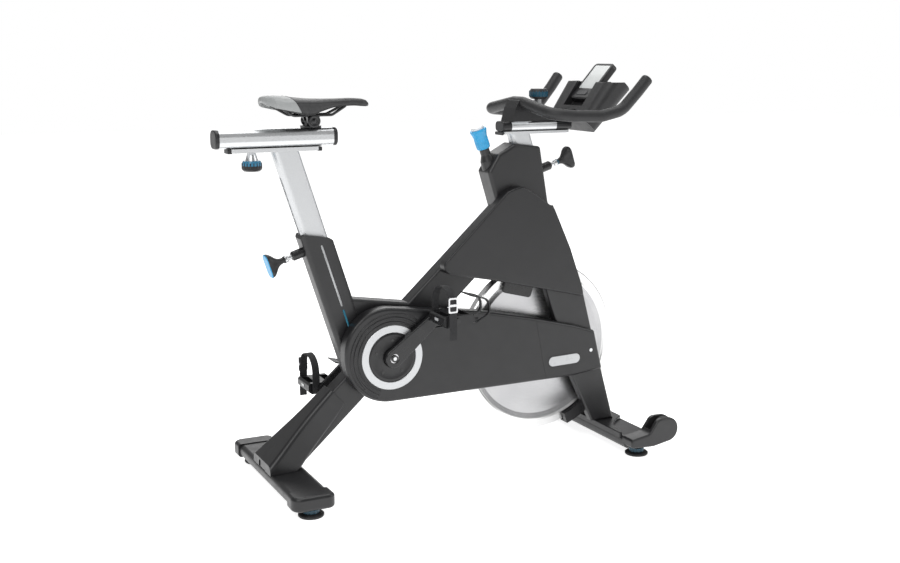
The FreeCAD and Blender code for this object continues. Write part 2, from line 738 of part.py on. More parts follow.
def two_circles(sketch, near, far, x, z):
    """The loop round two circles, one about the origin and one about (x, z)."""
    distance = math.hypot(x, z)
    axis = math.atan2(z, x)
    spread = math.acos((near - far) / distance)
    points = {}
    for name, side in (("top", 1), ("low", -1)):
        angle = axis + side * spread
        points["near_" + name] = V(near * math.cos(angle), near * math.sin(angle), 0)
        points["far_" + name] = V(x + far * math.cos(angle), z + far * math.sin(angle), 0)
    back = V(-near * math.cos(axis), -near * math.sin(axis), 0)
    ahead = V(x + far * math.cos(axis), z + far * math.sin(axis), 0)
    sketch.addGeometry([Part.Arc(points["near_top"], back, points["near_low"]),
                        Part.LineSegment(points["near_low"], points["far_low"]),
                        Part.Arc(points["far_low"], ahead, points["far_top"]),
                        Part.LineSegment(points["far_top"], points["near_top"])], False)


def make_drive():
    """Crank axle, arms, bolts, pulleys, belt, bearings, flywheel and pedals."""
    height = dim("crank_height")
    radius = dim("axle_radius")
    face = num(dim("arm_inner")) + num(dim("arm_thickness"))
    node(cylinder("crank_axle", (0, face - 3, height), RIGHT, radius, 2 * (face - 3)))

    bearings = []
    for label, x, z, bore, outer, y_left in (
            ("crank_bearing_right", 0, height, radius + 0.04, 25.98, -24), ("crank_bearing_left", 0, height, radius + 0.04, 25.98, 62),
            ("wheel_bearing_right", dim("wheel_x"), dim("wheel_height"), dim("wheel_axle") + 0.04, 15.98, -39),
            ("wheel_bearing_left", dim("wheel_x"), dim("wheel_height"), dim("wheel_axle") + 0.04, 15.98, 51)):
        bearings.append(turned(label, (x, y_left, z), RIGHT, ring_profile(bore, outer, 0, 12)))
    node(group("bearings", *bearings))

    half = num(dim("belt_width")) / 2
    belt_left = -dim("belt_plane") + half
    big = num(dim("big_pulley"))
    small = num(dim("small_pulley"))
    crank_pulley = turned("crank_pulley", (0, belt_left, height), RIGHT,
                          [(radius, -8), (28, -8), (28, 2), (big - 12, 2), (big - 12, 0), (big, 0), (big, 8), (big - 12, 8),
                           (big - 12, 6), (28, 6), (28, 8), (radius, 8)])
    holes = new_body("pulley_holes", (0, belt_left, height), RIGHT)
    sketch = new_sketch(holes)
    for k in range(6):
        circle(sketch, 16, 58 * math.cos(math.pi * k / 3), 58 * math.sin(math.pi * k / 3))
    pad(holes, sketch, 8)
    node(cut("drive_pulley", crank_pulley, holes))
    node(turned("flywheel_pulley", (dim("wheel_x"), belt_left, dim("wheel_height")), RIGHT,
                ring_profile(dim("wheel_axle"), dim("small_pulley"), 0, dim("belt_width"))))

    belt = new_body("drive_belt", (0, belt_left - 1, height), RIGHT)
    sketch = new_sketch(belt)
    rise = num(dim("wheel_height")) - num(height)
    for gap in (0.4, 3.4):
        two_circles(sketch, big + gap, small + gap, num(dim("wheel_x")), rise)
    pad(belt, sketch, dim("belt_width") - 2)
    node(belt)

    make_flywheel()
    make_crank_arms()


def make_flywheel():
    """Flywheel disc with a heavy rim, its axle and the guard under its rim."""
    x = dim("wheel_x")
    z = dim("wheel_height")
    rim = dim("wheel_radius")
    step = rim - dim("wheel_rim")
    half = num(dim("wheel_width")) / 2
    node(turned("flywheel", (x, 0, z), RIGHT,
                [(dim("wheel_axle"), -30), (34, -30), (46, -6), (step - 16, -6), (step, -half + 2), (step + 3, -half),
                 (rim - 3, -half), (rim, -half + 3), (rim, half - 3), (rim - 3, half), (step + 3, half), (step, half - 2),
                 (step - 16, 6), (46, 6), (34, 30), (dim("wheel_axle"), 30)]))
    node(cylinder("flywheel_axle", (x, 60, z), RIGHT, dim("wheel_axle"), 128))
    outer = num(rim) + 9
    inner = num(rim) + 4
    shape = new_body("rim_guard_blank", (x, num(dim("leg_inner")), z), RIGHT)
    sketch = new_sketch(shape)
    first = math.radians(-70)
    last = math.radians(-46)
    corners = [(outer, first), (outer, (first + last) / 2), (outer, last), (inner - 26, last),
               (inner - 26, (first + last) / 2), (inner - 26, first)]
    points = [V(r * math.cos(a), r * math.sin(a), 0) for r, a in corners]
    sketch.addGeometry([Part.Arc(points[0], points[1], points[2]), Part.LineSegment(points[2], points[3]),
                        Part.Arc(points[3], points[4], points[5]), Part.LineSegment(points[5], points[0])], False)
    pad(shape, sketch, dim("leg_inner") * 2)
    room = cylinder("rim_room", (x, 18, z), RIGHT, inner, 36)
    node(cut("flywheel_rim_guard", shape, room))


def crank_turn(extra=0.0):
    """Own Z to the right and own X along the right crank."""
    spin = FreeCAD.Rotation(V(0, 1, 0), -num(dim("crank_angle")) - extra)
    return spin.multiply(RIGHT)


def pedal_centre(sign):
    """The pedal axis, ahead of the crank and above the floor, for the right (1) or left (-1) crank."""
    angle = math.radians(num(dim("crank_angle")))
    reach = num(dim("crank_length")) * sign
    return reach * math.cos(angle), num(dim("crank_height")) + reach * math.sin(angle)


def make_crank_arms():
    """Crank arms, their bolts, the pedal axles and the pedals with their toe cages."""
    inner = num(dim("arm_inner"))
    thick = dim("arm_thickness")
    height = dim("crank_height")
    hardware = []
    for side, extra, y_left, sign in (("right", 0, -inner, 1), ("left", 180, inner + num(thick), -1)):
        arm = new_body("arm_blank_" + side, (0, y_left, height), crank_turn(extra))
        sketch = new_sketch(arm)
        two_circles(sketch, 25.0, 16.0, num(dim("crank_length")), 0)
        circle(sketch, dim("axle_radius"))
        circle(sketch, dim("pedal_radius"), dim("crank_length"), 0)
        pad(arm, sketch, thick)
        outer = num(thick) if sign == 1 else 0.0
        soften(arm, 4.0, lambda edge, level=outer: at_level(level)(edge) and edge.BoundBox.DiagonalLength > 40)
        node(arm)
        arm.Label = "crank_arm_" + side
        bolt_left = -(inner + num(thick) - 3) if sign == 1 else inner + num(thick) + 1
        hardware.append(turned("crank_bolt_" + side, (0, bolt_left, height), RIGHT,
                               [(0, 0), (9.5, 0), (9.5, 4), (0, 4)]))
        x, z = pedal_centre(sign)
        start = -inner - 1 if sign == 1 else num(dim("pedal_offset")) + 48
        length = num(dim("pedal_offset")) + 48 - inner - 1
        hardware.append(cylinder("pedal_axle_" + side, (x, start, z), RIGHT, dim("pedal_radius"), length))
        make_pedal(side, x, z, sign)
    node(group("crank_hardware", *hardware))


PEDAL_SHAPE = [(-38, -9, 6), (-32, -13, 4), (40, -13, 4), (48, -6, 6), (48, 6, 6), (40, 13, 4), (-32, 13, 4), (-38, 9, 6)]
CAGE_SHAPE = [(14, -16.5), (62, -16.5, 10), (104, 4, 20), (101, 46, 26), (44, 61, 6), (44, 57.5, 3), (97, 43, 22.5),
              (100, 7, 17), (61, -13.3, 8), (14, -13.3)]


def make_pedal(side, x, z, sign):
    """A pedal body on its axle, with a toe cage screwed to its front."""
    width = num(dim("pedal_width"))
    y_left = -num(dim("pedal_offset")) * sign + width / 2
    body = plate("pedal_blank_" + side, PEDAL_SHAPE, 0, width, at=(x, y_left, z))
    windows = new_body("pedal_windows_" + side, (x, y_left, z - 20), UP)
    sketch = new_sketch(windows)
    for u, long in ((-23, 18), (29.5, 25)):
        outline(sketch, rounded(long, 62, 4, u, -width / 2))
    pad(windows, sketch, 40)
    bore = cylinder("pedal_bore_" + side, (x, y_left + 1, z), RIGHT, dim("pedal_radius") + 0.05, width + 2)
    node(cut("pedal_" + side, body, windows, bore))

    strip = 58.0
    cage_left = -num(dim("pedal_offset")) * sign + strip / 2
    sheet_body = plate("cage_blank_" + side, CAGE_SHAPE, 0, strip, at=(x, cage_left, z))
    window = new_body("cage_window_" + side, (x, cage_left, z - 60), UP)
    sketch = new_sketch(window)
    outline(sketch, [(60, -strip + 9, 6), (140, -strip + 9), (140, -9), (60, -9, 6)])
    pad(window, sketch, 116)
    node(cut("toe_cage_" + side, sheet_body, window))


# ------------------------------------------------------------------ brake

CALIPER = [(350, 462, 8), (436, 440, 8), (452, 486, 10), (470, 560, 20), (470, 592, 12), (444, 592, 12), (440, 552, 10),
           (398, 500, 8), (364, 508, 8)]
CALIPER_PIVOT = (457.0, 579.0)     # x and z
PAD_REACH = 333.0                  # knob's lower face to the end of the brake pad, along the rod


def make_brake():
    """Resistance knob, the rod that it presses and the magnetic caliper over the rim."""
    shape = plate("caliper_blank", CALIPER, 27, 54)
    slot = cylinder("caliper_slot", (dim("wheel_x"), 17.5, dim("wheel_height")), RIGHT, num(dim("wheel_radius")) + 16, 35)
    x, z = CALIPER_PIVOT
    reach = num(dim("leg_inner")) - 0.3
    pin = cylinder("caliper_pin", (x, reach, z), RIGHT, 5, 2 * reach)
    node(fuse("brake_caliper", cut("caliper_slotted", shape, slot), pin))
    shaft = cylinder("rod_shaft", knob_point(-PAD_REACH), lean(KNOB_LEAN), 5, PAD_REACH + 46)
    shoe = cylinder("rod_shoe", knob_point(-PAD_REACH), lean(KNOB_LEAN), 12, 10)
    node(fuse("brake_rod", shaft, shoe))
    node(turned("resistance_knob", KNOB_BASE, lean(KNOB_LEAN),
                [(14.2, 0), (17, 0), (18.5, 2), (18, 20), (19, 34), (23, 50), (22, 54), (17.5, 54), (17.5, 58), (15, 61),
                 (0, 61), (0, 46.3), (5.06, 46.3), (5.06, 12), (14.2, 12)]))


# ------------------------------------------------------------------ seat

POST_IN = 150.0              # seat post left in the tube
POST_TOP = 868.0             # underside of the seat carriage above the floor
SLIDER_LOW = 878.3
SLIDER_REAR = -423.0
SADDLE_PIVOT = (-184.0, 941.0)


def make_seat():
    """Seat post, carriage, clamp knob, slider with caps, saddle clamp, rails and saddle."""
    base = seat_tube_frame()
    turn = lean(dim("seat_lean"))
    rise = (POST_TOP - base[2]) / math.cos(math.radians(num(dim("seat_lean"))))
    slope = 60 * math.tan(math.radians(num(dim("seat_lean"))))
    low = SEAT_TOP_REAR - POST_IN
    body = post("seat_post", base, turn, dim("post_depth"), dim("post_width"), 14.0, low, rise + 30)
    top = new_sketch(body, "XZ_Plane", name="top")
    outline(top, [(-60, rise + slope), (60, rise - slope), (60, rise + 90), (-60, rise + 90)])
    pocket(body, top, 200, both_ways=True)
    rear = -num(dim("post_depth")) / 2
    groove = new_sketch(body, "YZ_Plane", rear, "groove")
    outline(groove, rounded(13, 300, 3, 0, low + 152))
    pocket(body, groove, 4, ahead=True)
    holes = new_sketch(body, "YZ_Plane", rear, "holes")
    for k in range(14):
        circle(holes, 5, 0, low + 20 + 20 * k)
    pocket(body, holes, 13, ahead=True)
    node(body)

    carriage = new_body("seat_carriage", (-281, 0, POST_TOP), UP)
    sketch = new_sketch(carriage)
    outline(sketch, rounded(226, 40, 8))
    circle(sketch, 6, -57, 0)
    pad(carriage, sketch, 10)
    node(carriage)

    node(turned("seat_knob", (-338, 0, 822), UP,
                [(0, 0), (20, 0), (24, 4), (24, 20), (21, 25.5), (15.5, 26), (10, 44.5), (5.94, 45.6), (5.94, 55), (0, 55)]))

    slider = new_body("seat_slider", (SLIDER_REAR, 0, SLIDER_LOW + num(dim("slider_height")) / 2), facing(1, 0))
    sketch = new_sketch(slider)
    outline(sketch, rounded(dim("slider_height"), dim("slider_width"), 17))
    outline(sketch, rounded(num(dim("slider_height")) - 7, num(dim("slider_width")) - 7, 13.5))
    pad(slider, sketch, dim("slider_length"))
    node(slider)
    caps = []
    for label, x in (("rear_cap", SLIDER_REAR - 10), ("front_cap", SLIDER_REAR + num(dim("slider_length")))):
        cap = new_body(label, (x, 0, SLIDER_LOW + num(dim("slider_height")) / 2), facing(1, 0))
        sketch = new_sketch(cap)
        outline(sketch, rounded(dim("slider_height"), num(dim("slider_width")) + 2, 17.5))
        pad(cap, sketch, 10)
        soften(cap, 3.0, at_level(0 if label == "rear_cap" else 10))
        caps.append(cap)
    node(group("slider_caps", *caps))
    make_saddle()


def make_saddle():
    """Saddle clamp on the slider, the rails with their cradle, and the saddle itself."""
    x, z = SADDLE_PIVOT
    top = SLIDER_LOW + num(dim("slider_height"))
    foot = block("clamp_foot", (x - 22, -16, top), (44, 32, 5))
    lug = plate("clamp_lug", [(-14, top - z), (14, top - z), (10, 8, 9), (-10, 8, 9)], 0, 18, at=(x, 9, z))
    pin_way = cylinder("clamp_pin_way", (x, 40, z), RIGHT, 4.05, 80)
    node(cut("saddle_clamp", fuse("clamp_solid", foot, lug), pin_way))

    rails = []
    for sign in (-1, 1):
        points = [V(-284, sign * 36, 983), V(-236, sign * 22, 955), V(-135, sign * 22, 955), V(-95, sign * 11, 976)]
        rails.append(swept("saddle_rail_%d" % (sign + 1), points, 3.5, 18.0))
        ear = plate("cradle_ear_%d" % (sign + 1), [(-11, -8, 7), (11, -8, 7), (18, 18, 5), (-18, 18, 5)], 0, 13,
                    at=(x, sign * 16 + 6.5, z))
        rails.append(ear)
    rails.append(cylinder("clamp_pin", (x, 22.5, z), RIGHT, 4, 45))
    rails.append(block("cradle_bridge", (x - 16, -22, z + 11), (32, 44, 7)))
    node(fuse("saddle_rails", *rails))

    body = new_body("saddle_blank", (0, 0, 0), facing(1, 0))
    sections = []
    stations = [(-308, 26, 987, 1000), (-296, 56, 978, 1004), (-262, 72, 968, 1002), (-225, 64, 962, 998),
                (-180, 43, 966, 995), (-130, 28, 976, 994), (-80, 21, 977, 995), (-46, 19, 974, 992), (-33, 12, 973, 984)]
    for k, (along, half, low, high) in enumerate(stations):
        sketch = new_sketch(body, offset=along, name="section%d" % k)
        outline(sketch, [(-high, -half, (high - low) * 0.45), (-low, -half, 4), (-low, half, 4), (-high, half, (high - low) * 0.45)])
        sections.append(sketch)
    loft = body.newObject("PartDesign::AdditiveLoft", "saddle_loft")
    loft.Profile = sections[0]
    loft.Sections = sections[1:]
    body.Tip = loft
    doc.recompute()
    rail_room = [swept("rail_room_%d" % (sign + 1), [V(-290, sign * 37.8, 986.5), V(-236, sign * 22, 955),
                 V(-135, sign * 22, 955), V(-88, sign * 9, 979.7)], 4.0, 18.0) for sign in (-1, 1)]
    cradle_room = block("cradle_room", (x - 24, -30, z), (48, 60, 24))
    node(cut("saddle", body, cradle_room, *rail_room))


# ------------------------------------------------------------------ swept rods

def swept(label, points, radius, bend, at_crank=True):
    """A round rod along straight runs joined by tangent arcs, through points given from the crank."""
    shift = V(num(dim("crank_x")) if at_crank else 0, 0, 0)
    points = [point + shift for point in points]
    edges = []
    start = points[0]
    for index in range(1, len(points) - 1):
        back = (points[index - 1] - points[index]).normalize()
        ahead = (points[index + 1] - points[index]).normalize()
        half = back.getAngle(ahead) / 2
        runs = min(points[index].distanceToPoint(points[index - 1]), points[index].distanceToPoint(points[index + 1]))
        reach = min(bend / math.tan(half), LONGEST_REACH * runs)
        arc_radius = reach * math.tan(half)
        middle = points[index] + (back + ahead).normalize() * (arc_radius / math.sin(half) - arc_radius)
        into = points[index] + back * reach
        out = points[index] + ahead * reach
        edges.append(Part.makeLine(start, into))
        edges.append(Part.Arc(into, middle, out).toShape())
        start = out
    edges.append(Part.makeLine(start, points[-1]))
    path = Part.Wire(edges)
    direction = points[1] - points[0]
    section = Part.Wire(Part.makeCircle(num(radius), points[0], direction))
    result = doc.addObject("Part::Feature", label)
    result.Label = label
    result.Shape = path.makePipeShell([section], True, False, 2)
    return result


# ------------------------------------------------------------------ handlebar

BAR_CARRIAGE_LOW = 891.0
BAR_SLIDER_LOW = 898.3
BAR_HEIGHT = 975.0           # middle of the crossbar
ELBOW = (408.0, 172.0, 951.0)
HORN = (664.0, 223.0, 1035.0)


def make_bars():
    """Handlebar post, carriage, slider, clamp knob, handlebar, bottle holder and console."""
    turn = lean(dim("bar_lean"))
    rise = (BAR_CARRIAGE_LOW - head_frame()[2]) / math.cos(math.radians(num(dim("bar_lean"))))
    slope = 60 * math.tan(math.radians(num(dim("bar_lean"))))
    column = post("bar_column", head_frame(), turn, dim("bar_post_depth"), dim("post_width"), 14.0, -225.0, rise + 30)
    top = new_sketch(column, "XZ_Plane", name="top")
    outline(top, [(-60, rise + slope), (60, rise - slope), (60, rise + 90), (-60, rise + 90)])
    pocket(column, top, 200, both_ways=True)
    front = num(dim("bar_post_depth")) / 2
    groove = new_sketch(column, "YZ_Plane", front, "groove")
    outline(groove, rounded(13, 218, 3, 0, -113))
    pocket(column, groove, 4, ahead=False)
    holes = new_sketch(column, "YZ_Plane", front, "holes")
    for k in range(9):
        circle(holes, 5, 0, -204 + 20 * k)
    pocket(column, holes, 13, ahead=False)
    carriage = new_body("bar_rail", (456, 0, BAR_CARRIAGE_LOW), UP)
    sketch = new_sketch(carriage)
    outline(sketch, rounded(206, 44, 10))
    pad(carriage, sketch, 7)
    node(fuse("bar_post", column, carriage))

    slider = new_body("bar_slider_tube", (355, 0, BAR_SLIDER_LOW + 13.5), facing(1, 0))
    sketch = new_sketch(slider)
    outline(sketch, rounded(27, 46, 11))
    outline(sketch, rounded(20, 39, 8))
    pad(slider, sketch, 208)
    bracket = plate("bar_bracket", [(372, 924), (430, 924), (432, 952, 10), (424, 984, 14), (396, 986, 12), (382, 960, 10)], 0, 64,
                    at=(0, 32, 0))
    shelf = block("bar_shelf", (400, -24, 925), (150, 48, 8))
    holder = make_holder()
    necks = [block("holder_neck_%d" % (sign + 1), (420, sign * 23 - 6, 932), (150, 12, 22)) for sign in (-1, 1)]
    knob_way = cylinder("bar_knob_way", (470, 0, 890), UP, 7.0, 60)
    bar_room = handlebar_rod("bar_room", dim("bar_radius"))
    welded = fuse("bar_slider_parts", slider, bracket, shelf, *necks)
    node(cut("bar_slider", welded, knob_way, bar_room, holder))

    node(turned("bar_knob", (470, 0, 905), UP,
                [(0, 0), (6.94, 0), (6.94, 28.5), (11, 28.5), (11, 78), (20, 78), (24.5, 83), (25, 99), (21, 105), (0, 106)]))
    node(handlebar_rod("handlebar", dim("bar_radius")))
    make_console()


def handlebar_rod(label, radius):
    """The handlebar: horns, side arms, elbows and a raised crossbar, swept as one tube."""
    half = [V(*HORN), V(640, 219, 1006), V(596, 213, 958), V(540, 203, 944), V(470, 186, 945), V(*ELBOW), V(408, 24, BAR_HEIGHT)]
    points = half + [V(p.x, -p.y, p.z) for p in reversed(half)]
    return swept(label, points, radius, 60.0)


HOLDER_TILT = 42.0                    # bottle wells and console leaning forward, degrees
HOLDER_FOOT = (567.0, 0, 918.0)       # middle of the holder's underside
CONSOLE_FOOT = (597.0, 0, 983.0)      # lower edge of the console's face


def make_holder():
    """The moulded bottle holder between the side arms, with two wells and a seat for the console."""
    turn = lean(-HOLDER_TILT)
    solid = new_body("holder_blank", HOLDER_FOOT, turn)
    low = new_sketch(solid, name="low")
    outline(low, rounded(52, 206, 20, 10))
    high = new_sketch(solid, offset=150, name="high")
    outline(high, rounded(76, 232, 28, 2))
    loft = solid.newObject("PartDesign::AdditiveLoft", "holder_loft")
    loft.Profile = low
    loft.Sections = [high]
    solid.Tip = loft
    doc.recompute()
    wells = []
    for sign in (-1, 1):
        foot = (HOLDER_FOOT[0] + 5.9, sign * 80.0, HOLDER_FOOT[2] - 5.4)
        wells.append(turned("well_%d" % (sign + 1), foot, lean(2.4 - HOLDER_TILT),
                            [(0, 5), (18, 5), (20, 8), (31, 150), (32, 175), (0, 175)]))
    seat = new_body("console_room", HOLDER_FOOT, turn)
    sketch = new_sketch(seat, offset=42)
    outline(sketch, [(-90, -47.3, 0), (CONSOLE_DEPTH, -47.3, 2), (CONSOLE_DEPTH, 47.3, 2), (-90, 47.3, 0)])
    pad(seat, sketch, 160)
    above = block("above_holder", (540, -150, 1027), (240, 300, 60))
    node(cut("bottle_holder", solid, seat, above, *wells))
    return solid


def console_depth():
    """How far ahead of the holder's middle the console's back lies, across the tilt."""
    angle = math.radians(HOLDER_TILT)
    x = CONSOLE_FOOT[0] - HOLDER_FOOT[0]
    z = CONSOLE_FOOT[2] - HOLDER_FOOT[2]
    return x * math.cos(angle) - z * math.sin(angle) + num(dim("console_thickness"))


CONSOLE_DEPTH = console_depth() + 0.2


def make_console():
    """The tilted console with a screen recess, and its key."""
    angle = math.radians(90 - HOLDER_TILT)
    turn = facing(-math.sin(angle), math.cos(angle))
    length = num(dim("console_length"))
    thick = num(dim("console_thickness"))
    x, y, z = CONSOLE_FOOT
    centre = (x + length / 2 * math.cos(angle), y, z + length / 2 * math.sin(angle))
    body = new_body("console", centre, turn)
    sketch = new_sketch(body, offset=-thick)
    outline(sketch, rounded(length, dim("console_width"), 13))
    pad(body, sketch, thick)
    soften(body, 4.0, lambda edge: at_level(0)(edge) or at_level(-thick)(edge))
    screen = new_sketch(body, name="screen")
    outline(screen, rounded(84, 76, 4, 14, 0))
    pocket(body, screen, 2.0, ahead=False)
    key = new_sketch(body, name="key_slot")
    outline(key, rounded(14.6, 46.6, 5.3, -45, 0))
    pocket(body, key, 6.0, ahead=False)
    node(body)
    button = new_body("console_key", centre, turn)
    sketch = new_sketch(button, offset=-4.5)
    outline(sketch, rounded(14, 46, 5, -45, 0))
    pad(button, sketch, 6.0)
    soften(button, 1.2, at_level(1.5))
    node(button)


# ------------------------------------------------------------------ pop-pins

def make_pins(head_blank):
    """Bosses on the frame, the front one fitted to the head, and the sprung pins with their handles."""
    bosses = []
    for label, point, turn in (("seat", seat_pin_point, seat_pin_turn()), ("bar", bar_pin_point, bar_pin_turn())):
        bosses.append(turned(label + "_boss", point(0.05), turn, [(6.1, 0), (12.5, 0), (12.5, 27), (10, 31), (6.1, 31)]))
        shaft = cylinder(label + "_shaft", point(-9.5), turn, 6.0, 70)
        collar = turned(label + "_collar", point(42), turn, [(0, 0), (8.5, 0), (9.5, 3), (9.5, 10), (8, 12), (0, 12)])
        grip = new_body(label + "_grip", point(50), turn)
        sections = []
        for k, (along, tall, wide) in enumerate([(0, 16, 16), (14, 17, 16), (22, 26, 20), (36, 56, 34), (45, 62, 38), (48, 60, 36)]):
            sketch = new_sketch(grip, offset=along, name="section%d" % k)
            outline(sketch, rounded(tall, wide, wide * 0.4))
            sections.append(sketch)
        loft = grip.newObject("PartDesign::AdditiveLoft", label + "_loft")
        loft.Profile = sections[0]
        loft.Sections = sections[1:]
        grip.Tip = loft
        doc.recompute()
        node(fuse(label + "_pin", shaft, collar, grip))
    node(group("pin_bosses", bosses[0], cut("bar_boss_fitted", bosses[1], head_blank)))


# ------------------------------------------------------------------ build, check and export

head_outer, leg_tools = make_frame()
make_base()
make_feet()
make_rollers()
make_covers(leg_tools)
make_drive()
make_brake()
make_seat()
make_bars()
make_pins(head_outer)
doc.recompute()

for item in doc.Objects:
    if "Invalid" in item.State or "Error" in item.State:
        raise ValueError("failed object: %s %s" % (item.Label, item.State))
for item in NODES:
    if item.Shape.isNull() or not item.Shape.isValid() or not item.Shape.Solids:
        raise ValueError("bad sub-part: " + item.Label)
for item in NODES:
    item.Shape.exportStep("parts/%s.step" % item.Label)
print("sub-parts:", len(NODES))
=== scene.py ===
import json
import math

import bmesh
import bpy
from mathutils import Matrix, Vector


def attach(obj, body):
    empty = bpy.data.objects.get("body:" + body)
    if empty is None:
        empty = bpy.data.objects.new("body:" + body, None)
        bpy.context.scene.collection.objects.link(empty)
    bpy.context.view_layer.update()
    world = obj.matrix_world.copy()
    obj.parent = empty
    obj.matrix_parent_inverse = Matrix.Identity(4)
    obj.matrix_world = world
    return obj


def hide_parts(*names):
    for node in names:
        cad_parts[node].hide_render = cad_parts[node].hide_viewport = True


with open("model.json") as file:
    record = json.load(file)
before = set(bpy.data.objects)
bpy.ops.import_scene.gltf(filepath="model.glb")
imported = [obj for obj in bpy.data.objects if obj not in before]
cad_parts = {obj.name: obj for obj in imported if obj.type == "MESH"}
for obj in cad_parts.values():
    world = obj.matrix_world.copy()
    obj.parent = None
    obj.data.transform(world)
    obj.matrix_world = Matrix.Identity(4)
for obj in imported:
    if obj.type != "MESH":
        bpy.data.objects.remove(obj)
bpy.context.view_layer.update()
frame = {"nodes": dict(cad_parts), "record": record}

# Indoor spin bike. Metres, +X forward, +Y to the rider's left, +Z up.
# Places are given as on the drawings: millimetres from the crank axis, with z above the floor.

nodes = frame["nodes"]

FORWARD = Vector((1, 0, 0))
LEFT = Vector((0, 1, 0))
RIGHT = Vector((0, -1, 0))
UP = Vector((0, 0, 1))
CRANK = Vector((-0.18125, 0.0, 0.0))

# Driving sizes, as in the part: millimetres and degrees.
CRANK_HEIGHT = 330
CRANK_LENGTH = 170
CRANK_ANGLE = 38.7
PEDAL_OFFSET = 141.6
WHEEL_X = 475
WHEEL_HEIGHT = 297
GUARD_FACE = -72.0
SEAT_LEAN = 18
BAR_LEAN = 17.5
KNOB_LEAN = 20
CONSOLE_LEAN = 48


def at(x, y, z):
    """A point in the row frame, from millimetres about the crank."""
    return Vector((x, y, z)) / 1000 + CRANK


def tilted(angle):
    """The direction that leans back from the vertical by an angle in degrees."""
    return Vector((-math.sin(math.radians(angle)), 0, math.cos(math.radians(angle))))


SEAT_TUBE = at(-74, 0, 315)             # start of the seat tube's axis
HEAD_TOP = at(417.5, 0, 861)            # top of the head, on the handlebar post's axis
RESISTANCE_KNOB = at(303, 0, 855)       # the three knobs' lower faces, on their axes
SEAT_KNOB = at(-338, 0, 822)
BAR_KNOB = at(470, 0, 905)
SADDLE_PIVOT = (-184, 941)              # saddle clamp's bolt, x and z


# ------------------------------------------------------------------ materials

class Finish:
    """A node material under construction."""

    def __init__(self, name):
        self.material = bpy.data.materials.new(name)
        self.material.use_nodes = True
        self.tree = self.material.node_tree
        self.shader = self.tree.nodes["Principled BSDF"]
        self.place = self.tree.nodes.new("ShaderNodeTexCoord").outputs["Object"]

    def add(self, kind, **inputs):
        """A new node: set_NAME is a property, iN a socket's number, and the rest are sockets' names."""
        made = self.tree.nodes.new("ShaderNode" + kind)
        for key, value in inputs.items():
            if key.startswith("set_"):
                setattr(made, key[4:], value)
            elif key[0] == "i" and key[1:].isdigit():
                self.feed(made.inputs[int(key[1:])], value)
            else:
                self.feed(made.inputs[key.replace("_", " ")], value)
        return made

    def feed(self, socket, value):
        """Link a socket to another, or set its value."""
        if isinstance(value, bpy.types.NodeSocket):
            self.tree.links.new(value, socket)
        else:
            socket.default_value = value

    def noise(self, scale, detail=4.0, stretch=(1, 1, 1)):
        """Noise in object space; scale in waves to the metre."""
        placed = self.add("Mapping", Vector=self.place, Scale=stretch)
        return self.add("TexNoise", Vector=placed.outputs[0], Scale=scale, Detail=detail).outputs["Fac"]

    def spread(self, factor, low, high):
        """A factor remapped from the middle of a noise to a range of values."""
        made = self.add("MapRange", Value=factor, From_Min=0.3, From_Max=0.7, To_Min=low, To_Max=high)
        return made.outputs[0]

    def mix(self, factor, first, second):
        """Two colours mixed by a factor."""
        made = self.add("Mix", set_data_type="RGBA", i0=factor, i6=first, i7=second)
        return made.outputs[2]

    def along(self, origin, direction, length):
        """How far a point lies along a direction from an origin, as a part of a length."""
        moved = self.add("VectorMath", set_operation="SUBTRACT", i0=self.place, i1=origin).outputs[0]
        far = self.add("VectorMath", set_operation="DOT_PRODUCT", i0=moved, i1=direction.normalized() / length)
        return far.outputs["Value"]

    def from_axis(self, centre):
        """How far a point lies from an axis that runs side to side through a centre, in metres."""
        moved = self.add("VectorMath", set_operation="SUBTRACT", i0=self.place, i1=centre).outputs[0]
        flat = self.add("VectorMath", set_operation="MULTIPLY", i0=moved, i1=(1, 0, 1)).outputs[0]
        return self.add("VectorMath", set_operation="LENGTH", i0=flat).outputs["Value"]

    def steps(self, factor, stops):
        """Values that change in steps with a factor: (start, colour) pairs."""
        ramp = self.add("ValToRGB", Fac=factor)
        ramp.color_ramp.interpolation = "CONSTANT"
        elements = ramp.color_ramp.elements
        while len(elements) < len(stops):
            elements.new(0.5)
        for element, (start, colour) in zip(elements, stops):
            element.position = start
            element.color = colour
        return ramp.outputs[0]

    def relief(self, height, strength, distance, edge=0.0):
        """Bump from a height, on edges that are rounded a little."""
        bump = self.add("Bump", Height=height, Strength=strength, Distance=distance)
        if edge:
            self.feed(bump.inputs["Normal"], self.add("Bevel", set_samples=4, Radius=edge).outputs[0])
        self.feed(self.shader.inputs["Normal"], bump.outputs[0])

    def set(self, **inputs):
        """Set or link the shader's own sockets."""
        for key, value in inputs.items():
            self.feed(self.shader.inputs[key.replace("_", " ")], value)


def rgba(colour, factor=1.0):
    """A colour with full alpha, made lighter or darker."""
    return (colour[0] * factor, colour[1] * factor, colour[2] * factor, 1.0)


def moulded(name, colour, rough, grain, bump, sheen=0.12):
    """Moulded plastic or powder coat: fine grain, slow changes in gloss, rounded edges."""
    finish = Finish(name)
    slow = finish.noise(9.0, 3.0)
    tone = finish.mix(finish.spread(slow, 0.0, 1.0), rgba(colour, 1.0 - sheen), rgba(colour, 1.0 + sheen))
    finish.set(Base_Color=tone, Roughness=finish.spread(finish.noise(40.0), rough - 0.04, rough + 0.05))
    finish.relief(finish.noise(grain, 2.0), bump, 0.0004, 0.0009)
    return finish.material


